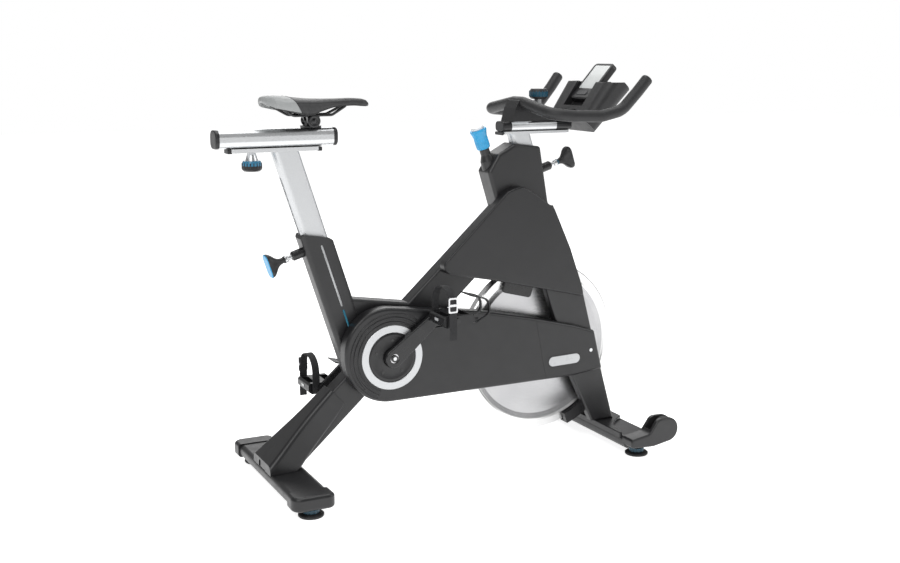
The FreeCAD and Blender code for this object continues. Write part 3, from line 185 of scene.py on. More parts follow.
def brushed(name, colour, rough, stretch, grain=260.0):
    """Brushed or anodised metal, with the brushing along the small number of stretch."""
    finish = Finish(name)
    lines = finish.noise(grain, 6.0, stretch)
    tone = finish.mix(finish.spread(lines, 0.0, 1.0), rgba(colour, 0.93), rgba(colour, 1.05))
    finish.set(Base_Color=tone, Metallic=1.0, Roughness=finish.spread(lines, rough - 0.05, rough + 0.07))
    finish.relief(lines, 0.05, 0.0002, 0.0006)
    return finish.material


def banded(name, origin, direction, bands):
    """One piece with different finishes along an axis: (start in mm, colour, roughness, metal) bands."""
    finish = Finish(name)
    length = 0.12       # how much of the axis the ramps span, and where they start below the origin
    first = 0.02
    place = finish.along(origin - direction.normalized() * first, direction, length)
    stops = [(max(0.0, (start / 1000 + first) / length), colour, rough, metal)
             for start, colour, rough, metal in bands]
    tone = finish.steps(place, [(start, rgba(colour)) for start, colour, _, _ in stops])
    rough = finish.steps(place, [(start, rgba((value,) * 3)) for start, _, value, _ in stops])
    metal = finish.steps(place, [(start, rgba((value,) * 3)) for start, _, _, value in stops])
    varied = finish.mix(finish.spread(finish.noise(60.0), 0.0, 0.12), tone, rgba(DUST))
    finish.set(Base_Color=varied, Roughness=rough, Metallic=metal, Specular_IOR_Level=0.36)
    finish.relief(finish.noise(900.0, 3.0), 0.08, 0.0003, 0.0005)
    return finish.material


CHARCOAL = (0.014, 0.014, 0.015)
COVER = (0.009, 0.009, 0.010)
BLACK = (0.009, 0.009, 0.010)
DUST = (0.2, 0.2, 0.2)
SILVER = (0.60, 0.61, 0.62)
BLUE = (0.03, 0.33, 0.62)
TEAL = (0.006, 0.06, 0.10)
DARK_TEAL = (0.02, 0.16, 0.28)
STRIPE_TEAL = (0.01, 0.16, 0.25)
KNOB_CAP = (0.72, 0.74, 0.76)
DISC_STEEL = (0.40, 0.40, 0.41)
RIM_STEEL = (0.78, 0.78, 0.78)
# paler grey for the flywheel's painted reflection blotches
REFLECTION_BLOTCH_STEEL = (0.56, 0.56, 0.56)
SADDLE_PANEL = (0.30, 0.31, 0.31)
SADDLE_BLACK = (0.012, 0.012, 0.013)
SADDLE_WORN = (0.09, 0.09, 0.09)

paint = moulded("frame_paint", CHARCOAL, 0.36, 900.0, 0.10)
cover = moulded("cover_plastic", COVER, 0.34, 1600.0, 0.16)
black = moulded("black_plastic", BLACK, 0.38, 1500.0, 0.14)
black_metal = moulded("black_steel", BLACK, 0.28, 700.0, 0.08)
dark = moulded("bottle_plastic", (0.014, 0.014, 0.015), 0.5, 1300.0, 0.2)
rubber = moulded("rubber", (0.012, 0.012, 0.012), 0.62, 1100.0, 0.25)
grip = moulded("grip", (0.011, 0.011, 0.012), 0.5, 2200.0, 0.35, 0.18)
key_pad = moulded("key_plastic", (0.035, 0.036, 0.038), 0.4, 1800.0, 0.1)
pale = moulded("pale_plastic", (0.52, 0.53, 0.54), 0.3, 1500.0, 0.06, 0.05)
post_metal = brushed("aluminium_posts", SILVER, 0.48, (1, 1, 0.3), 900.0)
rail_metal = brushed("aluminium_rails", (0.66, 0.67, 0.68), 0.30, (0.3, 1, 1), 1100.0)
bright = brushed("steel", (0.62, 0.62, 0.63), 0.24, (1, 0.2, 1))
ring_metal = brushed("trim_metal", (0.56, 0.57, 0.58), 0.42, (1, 1, 1), 700.0)


def flywheel_finish():
    """Turned and polished steel: rings about the axle, a brighter rim and slow pale blotches of painted
    reflection.
    """
    finish = Finish("flywheel_steel")
    rim_start = 0.208
    reach = finish.from_axis(at(WHEEL_X, 0, WHEEL_HEIGHT))
    rings = finish.add("TexNoise", set_noise_dimensions="1D", W=reach, Scale=2600.0, Detail=3.0).outputs["Fac"]
    slow = finish.noise(7.0, 2.0)
    zone = finish.steps(reach, [(0.0, rgba(DISC_STEEL)), (rim_start, rgba(RIM_STEEL))])
    # Slow noise blends toward a paler grey: painted reflections on the disc and rim.
    tone = finish.mix(finish.spread(slow, 0.0, 0.5), zone, rgba(REFLECTION_BLOTCH_STEEL))
    rough = finish.spread(rings, 0.20, 0.34)
    finish.set(Base_Color=tone, Metallic=1.0, Roughness=rough, Anisotropic=0.65)
    round_axle = finish.add("Tangent", set_direction_type="RADIAL", set_axis="Y").outputs[0]
    finish.feed(finish.shader.inputs["Tangent"], round_axle)
    finish.relief(rings, 0.04, 0.0002, 0.0008)
    return finish.material


PANEL_EDGE = at(-250, 0, 1000)          # the saddle's pale panel ends on a plane through this point
PANEL_NORMAL = Vector((35, 0, 22))      # and across this direction


def saddle_finish():
    """Grained black cover with a pale panel over the back."""
    finish = Finish("saddle_cover")
    side = finish.along(PANEL_EDGE, PANEL_NORMAL, 0.2)
    panel = finish.add("Math", set_operation="GREATER_THAN", i0=side, i1=0.0).outputs[0]
    tone = finish.mix(panel, rgba(SADDLE_PANEL), rgba(SADDLE_BLACK))
    varied = finish.mix(finish.spread(finish.noise(120.0), 0.0, 0.10), tone, rgba(SADDLE_WORN))
    cells = finish.add("TexVoronoi", set_feature="DISTANCE_TO_EDGE", Vector=finish.place, Scale=620.0)
    finish.set(Base_Color=varied, Roughness=finish.spread(finish.noise(60.0), 0.40, 0.52))
    finish.relief(cells.outputs[0], 0.35, 0.0004)
    return finish.material


def webbing_finish():
    """Woven nylon webbing."""
    finish = Finish("webbing")
    across = finish.add("TexWave", Vector=finish.place, Scale=180.0, set_bands_direction="Z").outputs["Fac"]
    along = finish.add("TexWave", Vector=finish.place, Scale=240.0, set_bands_direction="X").outputs["Fac"]
    weave = finish.add("Math", set_operation="MULTIPLY", i0=across, i1=along).outputs[0]
    tone = finish.mix(weave, rgba((0.010, 0.010, 0.011)), rgba((0.035, 0.035, 0.038)))
    finish.set(Base_Color=tone, Roughness=0.8)
    finish.relief(weave, 0.5, 0.0006)
    return finish.material


def hardware_finish():
    """Black bolts and pedal axles, with a bright middle in the crank bolts."""
    finish = Finish("crank_bolts")
    bright_radius = 0.0048
    reach = finish.from_axis(at(0, 0, CRANK_HEIGHT))
    middle = finish.add("Math", set_operation="LESS_THAN", i0=reach, i1=bright_radius).outputs[0]
    worn = finish.mix(finish.spread(finish.noise(150.0), 0.0, 0.2), rgba(BLACK), rgba((0.05, 0.05, 0.05)))
    finish.set(Base_Color=finish.mix(middle, worn, rgba(SILVER)), Metallic=middle,
               Roughness=finish.spread(finish.noise(60.0), 0.25, 0.36))
    finish.relief(finish.noise(900.0), 0.06, 0.0003, 0.0005)
    return finish.material


def screw_finish():
    """Black cover screws, with one bright screw on the front panel."""
    finish = Finish("screws")
    apart = finish.add("SeparateXYZ", Vector=finish.place)
    split = at(400, 0, 0).x
    front = finish.add("Math", set_operation="GREATER_THAN", i0=apart.outputs[0], i1=split).outputs[0]
    worn = finish.mix(finish.spread(finish.noise(200.0), 0.0, 0.3), rgba(BLACK), rgba((0.04, 0.04, 0.04)))
    finish.set(Base_Color=finish.mix(front, worn, rgba(SILVER)), Metallic=front,
               Roughness=finish.spread(finish.noise(60.0), 0.25, 0.36))
    finish.relief(finish.noise(900.0), 0.06, 0.0003, 0.0004)
    return finish.material


def screen_finish():
    """A blank liquid-crystal panel under glass."""
    finish = Finish("screen")
    tone = finish.mix(finish.noise(18.0), rgba((0.50, 0.52, 0.52)), rgba((0.60, 0.62, 0.61)))
    finish.set(Base_Color=tone, Roughness=0.16, Coat_Weight=0.6, Coat_Roughness=0.05)
    finish.relief(finish.noise(1800.0), 0.03, 0.0001)
    return finish.material


def bar_slider_finish():
    """A bright tube between black ends, with a black cast bracket above it."""
    finish = Finish("bar_slider_parts")
    tube_top = 0.9246
    apart = finish.add("SeparateXYZ", Vector=finish.place)
    tests = [("LESS_THAN", apart.outputs[2], tube_top),
             ("GREATER_THAN", apart.outputs[0], at(377, 0, 0).x),
             ("LESS_THAN", apart.outputs[0], at(516, 0, 0).x)]
    mask = None
    for operation, value, limit in tests:
        passed = finish.add("Math", set_operation=operation, i0=value, i1=limit).outputs[0]
        if mask is None:
            mask = passed
        else:
            mask = finish.add("Math", set_operation="MULTIPLY", i0=mask, i1=passed).outputs[0]
    lines = finish.noise(260.0, 6.0, (0.05, 1, 1))
    tube = finish.mix(finish.spread(lines, 0.0, 1.0), rgba(SILVER, 0.95), rgba(SILVER, 1.1))
    finish.set(Base_Color=finish.mix(mask, rgba(BLACK), tube), Metallic=mask,
               Roughness=finish.spread(lines, 0.26, 0.38))
    finish.relief(finish.noise(1200.0), 0.08, 0.0003, 0.0008)
    return finish.material


def pin_finish(name, origin, direction, collar, rim):
    """A sprung pin: bright shaft, coloured collar, black lever and coloured edge on its end."""
    return banded(name, origin, direction, [(-60, SILVER, 0.25, 1.0), (50, collar, 0.3, 0.0),
                                            (56, BLACK, 0.35, 0.0), (95.5, rim, 0.3, 0.0)])


# Where the two pins leave their tubes, and the way they point.
seat_back = Vector((-math.cos(math.radians(SEAT_LEAN)), 0, -math.sin(math.radians(SEAT_LEAN))))
seat_face = SEAT_TUBE + 0.325 * tilted(SEAT_LEAN) + 0.0405 * seat_back
bar_ahead = Vector((math.cos(math.radians(BAR_LEAN)), 0, math.sin(math.radians(BAR_LEAN))))
bar_face = HEAD_TOP - 0.084 * tilted(BAR_LEAN) + 0.0395 * bar_ahead

finishes = {
    "seat_post": post_metal,
    "bar_post": post_metal,
    "seat_carriage": rail_metal,
    "seat_slider": rail_metal,
    "drive_pulley": rail_metal,
    "flywheel_pulley": rail_metal,
    "flywheel": flywheel_finish(),
    "guard_ring": ring_metal,
    "bar_slider": bar_slider_finish(),
    "bottle_holder": dark,
    "handlebar": grip,
    "console": black,
    "console_key": key_pad,
    "crank_hardware": hardware_finish(),
    "cover_screws": screw_finish(),
    "saddle_clamp": black_metal,
    "saddle_rails": black_metal,
    "seat_pin": pin_finish("seat_pin_parts", seat_face, seat_back, BLACK, BLUE),
    "bar_pin": pin_finish("bar_pin_parts", bar_face, bar_ahead, TEAL, BLACK),
    "resistance_knob": banded("resistance_parts", RESISTANCE_KNOB, tilted(KNOB_LEAN),
                              [(-20, BLUE, 0.26, 0.0), (54.2, KNOB_CAP, 0.3, 0.2)]),
    "seat_knob": banded("seat_knob_parts", SEAT_KNOB, UP,
                        [(-20, BLACK, 0.35, 0.0), (13, DARK_TEAL, 0.14, 0.0), (25.6, SILVER, 0.25, 1.0)]),
    "bar_knob": banded("bar_knob_parts", BAR_KNOB, UP,
                       [(-20, SILVER, 0.3, 1.0), (77, BLACK, 0.35, 0.0), (84, TEAL, 0.2, 0.0),
                        (97, BLACK, 0.35, 0.0)]),
}
foot_finish = banded("foot_parts", at(0, 0, 0), UP,
                     [(-20, BLACK, 0.55, 0.0), (10.2, TEAL, 0.2, 0.0), (20.6, SILVER, 0.3, 1.0)])
by_slot = {"frame_paint": paint, "cover_plastic": cover, "black_plastic": black, "black_steel": black_metal,
           "steel": bright, "rubber": rubber, "grip": grip, "aluminium": rail_metal, "saddle_cover": black}
for entry in frame["record"]["subparts"]:
    name = entry["node"]
    if name in finishes:
        chosen = finishes[name]
    elif name.startswith("foot_"):
        chosen = foot_finish
    else:
        chosen = by_slot[entry["material_slot"]]
    nodes[name].data.materials.clear()
    nodes[name].data.materials.append(chosen)


# ------------------------------------------------------------------ mesh helpers

BEVEL_ANGLE = math.radians(30.0)        # edges sharper than this are rounded


def piece(name, verts, faces, body, material, bevel=0.0):
    """A mesh piece that rides on a body, with its sharp edges rounded by a bevel in metres."""
    mesh = bpy.data.meshes.new(name)
    mesh.from_pydata([tuple(v) for v in verts], [], faces)
    shell = bmesh.new()
    shell.from_mesh(mesh)
    bmesh.ops.remove_doubles(shell, verts=shell.verts, dist=1e-6)
    bmesh.ops.recalc_face_normals(shell, faces=shell.faces)
    shell.to_mesh(mesh)
    shell.free()
    mesh.validate()
    mesh.materials.append(material)
    made = bpy.data.objects.new(name, mesh)
    bpy.context.scene.collection.objects.link(made)
    for polygon in mesh.polygons:
        polygon.use_smooth = True
    if bevel:
        rounding = made.modifiers.new("rounding", "BEVEL")
        rounding.width = bevel
        rounding.segments = 3
        rounding.limit_method = "ANGLE"
        rounding.angle_limit = BEVEL_ANGLE
        rounding.harden_normals = True
    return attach(made, body)


def extruded(corners, origin, u, v, depth):
    """Vertices and faces of an outline in the directions u and v, extruded along their cross product."""
    n = u.cross(v).normalized() * depth
    total = len(corners)
    low = [origin + u * a + v * b for a, b in corners]
    verts = low + [p + n for p in low]
    faces = [list(range(total))[::-1], list(range(total, 2 * total))]
    faces += [[i, (i + 1) % total, (i + 1) % total + total, i + total] for i in range(total)]
    return verts, faces


def round_corners(width, height, radius, steps=6):
    """The outline of a rounded rectangle about its middle."""
    corners = []
    for quarter, (sx, sy) in enumerate(((1, 1), (-1, 1), (-1, -1), (1, -1))):
        for step in range(steps + 1):
            angle = math.radians(90 * quarter + 90 * step / steps)
            corners.append((sx * (width / 2 - radius) + radius * math.cos(angle),
                            sy * (height / 2 - radius) + radius * math.sin(angle)))
    return corners


def lathed(profile, origin, axis, steps):
    """Vertices and faces of a closed (radius, height) profile turned about an axis."""
    axis = axis.normalized()
    side = axis.orthogonal().normalized()
    other = axis.cross(side)
    verts = []
    for k in range(steps):
        angle = math.radians(360.0 * k / steps)
        out = side * math.cos(angle) + other * math.sin(angle)
        verts += [origin + out * r + axis * h for r, h in profile]
    count = len(profile)
    faces = []
    for k in range(steps):
        a = k * count
        b = ((k + 1) % steps) * count
        faces += [[a + i, b + i, b + (i + 1) % count, a + (i + 1) % count] for i in range(count)]
    return verts, faces


def swept(path, profile, across, closed=False):
    """Vertices and faces of a (across, outwards) profile carried along a path of points."""
    count = len(profile)
    total = len(path)
    verts = []
    for k, point in enumerate(path):
        before = path[k - 1] if closed or k > 0 else path[0]
        after = path[(k + 1) % total] if closed or k < total - 1 else path[-1]
        run = (after - before).normalized()
        out = run.cross(across).normalized()
        verts += [point + across * a + out * b for a, b in profile]
    faces = []
    for k in range(total if closed else total - 1):
        a = k * count
        b = ((k + 1) % total) * count
        faces += [[a + i, a + (i + 1) % count, b + (i + 1) % count, b + i] for i in range(count)]
    if not closed:
        faces += [list(range(count))[::-1], list(range((total - 1) * count, total * count))]
    return verts, faces


def between(p, t):
    """The Catmull-Rom value at a part t of the way from the second to the third of four."""
    return 0.5 * (2 * p[1] + (p[2] - p[0]) * t + (2 * p[0] - 5 * p[1] + 4 * p[2] - p[3]) * t * t
                  + (3 * p[1] - p[0] - 3 * p[2] + p[3]) * t ** 3)


def smooth_through(points, steps, closed=False):
    """A Catmull-Rom line through points."""
    total = len(points)
    made = []
    for k in range(total if closed else total - 1):
        if closed:
            near = [points[(k + j) % total] for j in (-1, 0, 1, 2)]
        else:
            near = [points[max(k - 1, 0)], points[k], points[k + 1], points[min(k + 2, total - 1)]]
        made += [between(near, step / steps) for step in range(steps)]
    if not closed:
        made.append(points[-1])
    return made


# ------------------------------------------------------------------ saddle

SADDLE = [  # x, half width, top, edge below the side, skirt's lower edge
    (-311, 18, 998, 991, 988), (-306, 38, 1001.5, 988, 981), (-292, 60, 1004, 985, 974),
    (-262, 72, 1003, 982, 967), (-225, 64, 999, 981, 960), (-195, 50, 996, 980, 956),
    (-170, 40, 995, 979, 964), (-130, 28, 994.5, 981, 974), (-80, 21, 995, 983, 977),
    (-50, 18.5, 993, 982, 975), (-38, 15, 989.5, 981, 974), (-32, 9, 984, 979, 974.5)]
SADDLE_WALL = 4.0           # skirt's thickness
SADDLE_FOAM = 15.0          # from the top down to the hollow's roof
SKIRT_LEAN = 2.5            # how far the skirt draws in
SHOULDER = 0.8              # the part of a side's parameter that the crowned top takes
CROWN = 0.82                # the crown's power: 1 would be an ellipse
CHANNEL_DEPTH = 2.2         # groove along the middle, and its half width
CHANNEL_WIDTH = 6.0


def saddle_sizes(x):
    """Half width, top, side and skirt heights at a place along the saddle."""
    for k in range(len(SADDLE) - 1):
        if x <= SADDLE[k + 1][0]:
            break
    near = [Vector(SADDLE[min(max(j, 0), len(SADDLE) - 1)][1:]) for j in (k - 1, k, k + 1, k + 2)]
    return between(near, (x - SADDLE[k][0]) / (SADDLE[k + 1][0] - SADDLE[k][0]))


def saddle_point(x, s):
    """A point on the saddle's upper side: s runs from -1 to 1 across the top and down both skirts."""
    half, top, edge, skirt = saddle_sizes(x)
    sign = 1 if s >= 0 else -1
    s = abs(s)
    if s > SHOULDER:
        part = (s - SHOULDER) / (1 - SHOULDER)
        return at(x, sign * (half - SKIRT_LEAN * part * part), edge + (skirt - edge) * part)
    angle = s / SHOULDER * math.pi / 2
    y = half * math.sin(angle) ** CROWN
    z = top - (top - edge) * (1 - max(math.cos(angle), 0.0) ** CROWN)
    fade = max(0.0, min(1.0, (x + 296) / 30, (-88 - x) / 40))
    channel = CHANNEL_DEPTH * math.exp(-(y / CHANNEL_WIDTH) ** 2) * fade
    return at(x, sign * y, z - channel)


def make_saddle_pad():
    """The padded saddle: a crowned top, skirts and a hollow underside."""
    first, last = SADDLE[0][0], SADDLE[-1][0]
    rings = 84
    outer = 40
    verts = []
    for k in range(rings + 1):
        x = first + (last - first) * (0.5 - 0.5 * math.cos(math.pi * k / rings))
        half, top, edge, skirt = saddle_sizes(x)
        verts += [saddle_point(x, -1 + 2 * j / outer) for j in range(outer + 1)]
        inner = max(half - SKIRT_LEAN - SADDLE_WALL, half * 0.4)
        roof = max(top - SADDLE_FOAM, skirt + 1.5)
        verts += [at(x, inner, skirt), at(x, inner * 0.94, roof - 2), at(x, inner * 0.6, roof),
                  at(x, 0, roof + 1),
                  at(x, -inner * 0.6, roof), at(x, -inner * 0.94, roof - 2), at(x, -inner, skirt)]
    count = outer + 8
    faces = []
    for k in range(rings):
        a, b = k * count, (k + 1) * count
        faces += [[a + i, b + i, b + (i + 1) % count, a + (i + 1) % count] for i in range(count)]
    faces += [list(range(count)), list(range(rings * count, (rings + 1) * count))[::-1]]
    saddle = piece("saddle_pad", verts, faces, "saddle_set", saddle_finish())
    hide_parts("saddle")


def on_panel_edge(s):
    """The point of the saddle's upper side at s where the pale panel ends, found by halving."""
    low, high = -300.0, -180.0
    for _ in range(24):
        middle = (low + high) / 2
        gap = (saddle_point(middle, s) - PANEL_EDGE).dot(PANEL_NORMAL)
        low, high = (middle, high) if gap < 0 else (low, middle)
    return saddle_point(middle, s)


def make_saddle_piping():
    """The seam round the pale panel, and the welts along the skirts' lower edges."""
    cord = 0.0009
    ring = [(cord * math.cos(a), cord * math.sin(a)) for a in (math.pi * k / 4 for k in range(8))]
    seam = [on_panel_edge(-0.98 + 1.96 * j / 48) for j in range(49)]
    verts, faces = swept(seam, ring, FORWARD)
    piece("saddle_seam", verts, faces, "saddle_set", black)
    for side, sign in (("right", -1), ("left", 1)):
        edge = [saddle_point(x, sign * 0.985) for x in range(-302, -38, 6)]
        verts, faces = swept(edge, [(a * 1.3, b * 1.3) for a, b in ring], LEFT)
        piece("saddle_welt_" + side, verts, faces, "saddle_set", black)


# ------------------------------------------------------------------ pedals' straps, buckles and reflectors

PEDAL_RISE = CRANK_LENGTH * math.sin(math.radians(CRANK_ANGLE))
PEDAL_RUN = CRANK_LENGTH * math.cos(math.radians(CRANK_ANGLE))
STRAP_BEHIND = 18.4         # the strap's middle behind the pedal's axle
REFLECTOR_BEHIND = 38.3
BUCKLE_UP = 44
# Offsets across and above the pedal's centre; positive offsets are on the bike's outer side.
STRAP_LOOP = [(0, -17), (30, -17), (46, -15), (49, 0), (50, 30), (47, 56), (36, 74), (16, 83), (0, 85),
              (-16, 82), (-34, 72), (-46, 54), (-49, 30), (-48.5, 0), (-46, -15), (-30, -17)]
STRAP_TAIL = [(51.5, 62), (54, 40), (55, 18), (55.5, -8), (57, -30), (56, -46)]
TAIL_DRIFT = 0.06           # each of the tail's points lies this much farther forward
RIBBON = [(-0.010, -0.0009), (0.010, -0.0009), (0.010, 0.0009), (-0.010, 0.0009)]


def framed(outline, hole, origin, u, v, thick):
    """Vertices and faces of an outline with a hole of as many corners, made thick along a vector."""
    total = len(outline)
    verts = [origin + u * a + v * b for a, b in outline] + [origin + u * a + v * b for a, b in hole]
    verts += [p + thick for p in verts]
    faces = []
    for i in range(total):
        j = (i + 1) % total
        faces += [[i, j, total + j, total + i], [2 * total + j, 2 * total + i, 3 * total + i, 3 * total + j],
                  [i, 2 * total + i, 2 * total + j, j], [total + i, total + j, 3 * total + j, 3 * total + i]]
    return verts, faces


def make_strap(side, sign):
    """A webbing strap round one pedal and its toe cage, with a buckle, a loose end and a reflector."""
    x = sign * PEDAL_RUN - STRAP_BEHIND
    y = -PEDAL_OFFSET * sign
    z = CRANK_HEIGHT + sign * PEDAL_RISE
    body = side + "_pedal"
    webbing = webbing_finish()
    loop = [at(x, y - sign * a, z + b) for a, b in STRAP_LOOP]
    verts, faces = swept(smooth_through(loop, 6, closed=True), RIBBON, FORWARD, closed=True)
    piece("toe_strap_" + side, verts, faces, body, webbing, bevel=0.0005)
    tail = [at(x + TAIL_DRIFT * k, y - sign * a, z + b) for k, (a, b) in enumerate(STRAP_TAIL)]
    verts, faces = swept(smooth_through(tail, 6), RIBBON, FORWARD)
    piece("strap_end_" + side, verts, faces, body, webbing, bevel=0.0005)

    verts, faces = framed(round_corners(0.026, 0.040, 0.004), round_corners(0.018, 0.030, 0.003),
                          at(x, y - sign * 53.2, z + BUCKLE_UP), FORWARD, UP, Vector((0, -sign * 0.003, 0)))
    piece("strap_buckle_" + side, verts, faces, body, bright, bevel=0.0008)
    middle = at(x, y - sign * 52.6, z + BUCKLE_UP)
    verts, faces = extruded(round_corners(0.024, 0.007, 0.003), middle, FORWARD, UP, 0.004)
    piece("buckle_bar_" + side, verts, faces, body, bright, bevel=0.0008)
    middle = at(sign * PEDAL_RUN - REFLECTOR_BEHIND, y, z)
    verts, faces = extruded(round_corners(0.020, 0.007, 0.002), middle, RIGHT, UP, 0.0012)
    piece("pedal_reflector_" + side, verts, faces, body, pale, bevel=0.0004)


# ------------------------------------------------------------------ guard details

DISC_PROFILE = [(0.0215, 0.0), (0.0215, 0.0012), (0.026, 0.0022), (0.030, 0.0022), (0.033, 0.0010),
                (0.055, 0.0010), (0.057, 0.0018), (0.0645, 0.0018), (0.0652, 0.0)]
DISC_SUNK = 0.0001          # the disc starts this far under the guard's face
RIDGES = [(94.0, 5.0, 2.2, 23), (105.0, 6.0, 2.6, 29), (115.5, 4.0, 2.0, 35)]   # radius, width, height, fall
RIDGE_START = -112          # where the ridges start round the crank, and how far they turn, in degrees
RIDGE_TURN = 205
RIDGE_END = 250             # x of their front ends, which lie lower than their tops by the fall
BADGE_SLOPE = 1.5
STRIPE_GAP = 0.0001         # keeps the stripes clear of the seat tube's face


def make_guard_disc():
    """The stepped disc inside the trim ring."""
    profile = [(r, h - DISC_SUNK) for r, h in DISC_PROFILE]
    verts, faces = lathed(profile, at(0, GUARD_FACE, CRANK_HEIGHT), RIGHT, 96)
    piece("guard_disc", verts, faces, "frame", black)


def make_guard_ridges():
    """Ridges that follow the guard's round end outside the trim ring and run on along its upper edge."""
    for k, (radius, width, height, fall) in enumerate(RIDGES):
        path = []
        for step in range(49):
            angle = math.radians(RIDGE_START - RIDGE_TURN * step / 48)
            path.append(at(radius * math.cos(angle), GUARD_FACE, CRANK_HEIGHT + radius * math.sin(angle)))
        top = path[-1]
        ahead = at(RIDGE_END, GUARD_FACE, CRANK_HEIGHT + radius - fall)
        path += [top.lerp(ahead, t / 8) for t in range(1, 9)]
        w, h = width / 2000, height / 1000
        section = [(-h, w * 0.55), (-h * 0.35, w), (0.0002, w * 1.15), (0.0002, -w * 1.15), (-h * 0.35, -w),
                   (-h, -w * 0.55)]
        verts, faces = swept(path, section, LEFT)
        piece("guard_ridge_%d" % k, verts, faces, "frame", cover)


def make_badge():
    """The blank badge on the guard's front panel, in its dark rim."""
    slope = math.radians(BADGE_SLOPE)
    u = Vector((math.cos(slope), 0, math.sin(slope)))
    v = Vector((-math.sin(slope), 0, math.cos(slope)))
    middle = at(523, GUARD_FACE, 263)
    verts, faces = extruded(round_corners(0.100, 0.027, 0.0132, 10), middle, u, v, 0.0014)
    piece("guard_badge", verts, faces, "frame", pale, bevel=0.0005)
    middle = at(523, GUARD_FACE + 0.01, 263)
    verts, faces = extruded(round_corners(0.108, 0.035, 0.0172, 10), middle, u, v, 0.0006)
    piece("badge_rim", verts, faces, "frame", black, bevel=0.0003)


def make_stripe(name, low, high, material):
    """A plain stripe on the seat tube's right side, from low to high along the tube in millimetres."""
    shift, width = 4, 5
    lean = tilted(SEAT_LEAN)
    across = Vector((lean.z, 0, -lean.x))
    middle = SEAT_TUBE + Vector((0, -0.028, 0)) + lean * (low + high) / 2000 + across * shift / 1000
    outline = round_corners(width / 1000, (high - low) / 1000, 0.0024)
    verts, faces = extruded(outline, middle, across, lean, 0.0003)
    verts = [p + RIGHT * STRIPE_GAP for p in verts]
    piece("seat_tube_" + name, verts, faces, "frame", material)


# ------------------------------------------------------------------ knobs, stops, console

def ribs(name, origin, axis, radius, low, high, count, size, body, material):
    """Rounded ribs on a knob's side, from low to high along its axis, all in metres."""
    axis = axis.normalized()
    side = axis.orthogonal().normalized()
    other = axis.cross(side)
    verts, faces = [], []
    for k in range(count):
        angle = 2 * math.pi * k / count
        out = side * math.cos(angle) + other * math.sin(angle)
        tangent = axis.cross(out)
        base = len(verts)
        for height, scale in ((low, 0.5), (low + 0.002, 1.0), (high - 0.002, 1.0), (high, 0.5)):
            for j in range(5):
                turn = math.pi * (j / 4 - 0.5)
                verts.append(origin + axis * height + out * (radius + size * scale * math.cos(turn))
                             + tangent * size * 1.1 * math.sin(turn))
        for row in range(3):
            for j in range(4):
                a = base + row * 5 + j
                faces.append([a, a + 1, a + 6, a + 5])
            a = base + row * 5
            faces.append([a + 4, a, a + 5, a + 9])
        faces.append([base + 4 - j for j in range(5)])
        faces.append([base + 15 + j for j in range(5)])
    piece(name, verts, faces, body, material)


def make_knob_ribs():
    """Ribs round the two clamp knobs and the resistance knob."""
    teal = moulded("teal_plastic", TEAL, 0.2, 900.0, 0.05)
    ribs("seat_knob_ribs", SEAT_KNOB, UP, 0.0238, 0.005, 0.0205, 18, 0.0012,
         "seat_clamp_knob", black)
    ribs("bar_knob_ribs", BAR_KNOB, UP, 0.0246, 0.084, 0.1, 18, 0.0012,
         "bar_clamp_knob", teal)
    ribs("resistance_knob_ribs", RESISTANCE_KNOB, tilted(KNOB_LEAN), 0.0178, 0.005, 0.030, 16, 0.0012,
         "resistance", moulded("blue_plastic", BLUE, 0.26, 900.0, 0.05))


def make_stops():
    """End stops of the seat rail and of the bar rail, and the plug in the bar slider's back end."""
    for name, x in (("rear", -396), ("front", -166)):
        verts, faces = extruded(round_corners(0.012, 0.034, 0.003), at(x, 0, 866.5), FORWARD, LEFT, 0.0105)
        piece("rail_stop_" + name, verts, faces, "seat_mast", black, bevel=0.0015)
    verts, faces = extruded(round_corners(0.0268, 0.0458, 0.0105), at(349.5, 0, 911.8), UP, RIGHT, 0.0065)
    piece("bar_slider_plug", verts, faces, "bars", black, bevel=0.0025)
    verts, faces = extruded(round_corners(0.0090, 0.042, 0.0030), at(347.5, 0, 893.2), UP, RIGHT, 0.0056)
    piece("bar_rail_stop", verts, faces, "bar_mast", black, bevel=0.0015)


MARK_COUNT = 30             # height marks on the seat post: their number, the first one's place along the
MARK_START = 0.380          # tube's axis, their spacing and their height, in metres
MARK_PITCH = 0.0067
MARK_HEIGHT = 0.0036
POST_CORNER = (0.019, 0.004, 0.014)     # the post's rear left corner: back, left and radius


def make_post_marks():
    """Height marks that wrap round the seat post's rear left corner."""
    lean = tilted(SEAT_LEAN)
    back = Vector((-lean.z, 0, lean.x))
    behind, left, radius = POST_CORNER
    turns = [math.radians(14 + 7 * k) for k in range(8)]
    outer, inner = radius + 0.00025, radius - 0.0002
    arc = [(behind + outer * math.cos(turn), left + outer * math.sin(turn)) for turn in turns]
    arc += [(behind + inner * math.cos(turn), left + inner * math.sin(turn)) for turn in reversed(turns)]
    verts, faces = [], []
    for k in range(MARK_COUNT):
        place = SEAT_TUBE + lean * (MARK_START + MARK_PITCH * k)
        tick, sides = extruded(arc, place, back, LEFT, MARK_HEIGHT)
        faces += [[len(verts) + i for i in face] for face in sides]
        verts += tick
    piece("post_marks", verts, faces, "seat_mast", black)


TIP_DOME = [(0.0, -0.002), (0.0150, -0.002), (0.0156, 0.0), (0.0156, 0.0015), (0.0148, 0.005),
            (0.0126, 0.0078), (0.0090, 0.0096), (0.0045, 0.0106), (0.0, 0.0108)]
CHEEK_PROFILE = [(0.0, 0.0), (0.0155, 0.0), (0.0165, 0.001), (0.0165, 0.0042), (0.0150, 0.0056),
                 (0.0095, 0.0060), (0.0090, 0.0052), (0.0055, 0.0052), (0.0050, 0.0068), (0.0, 0.0068)]


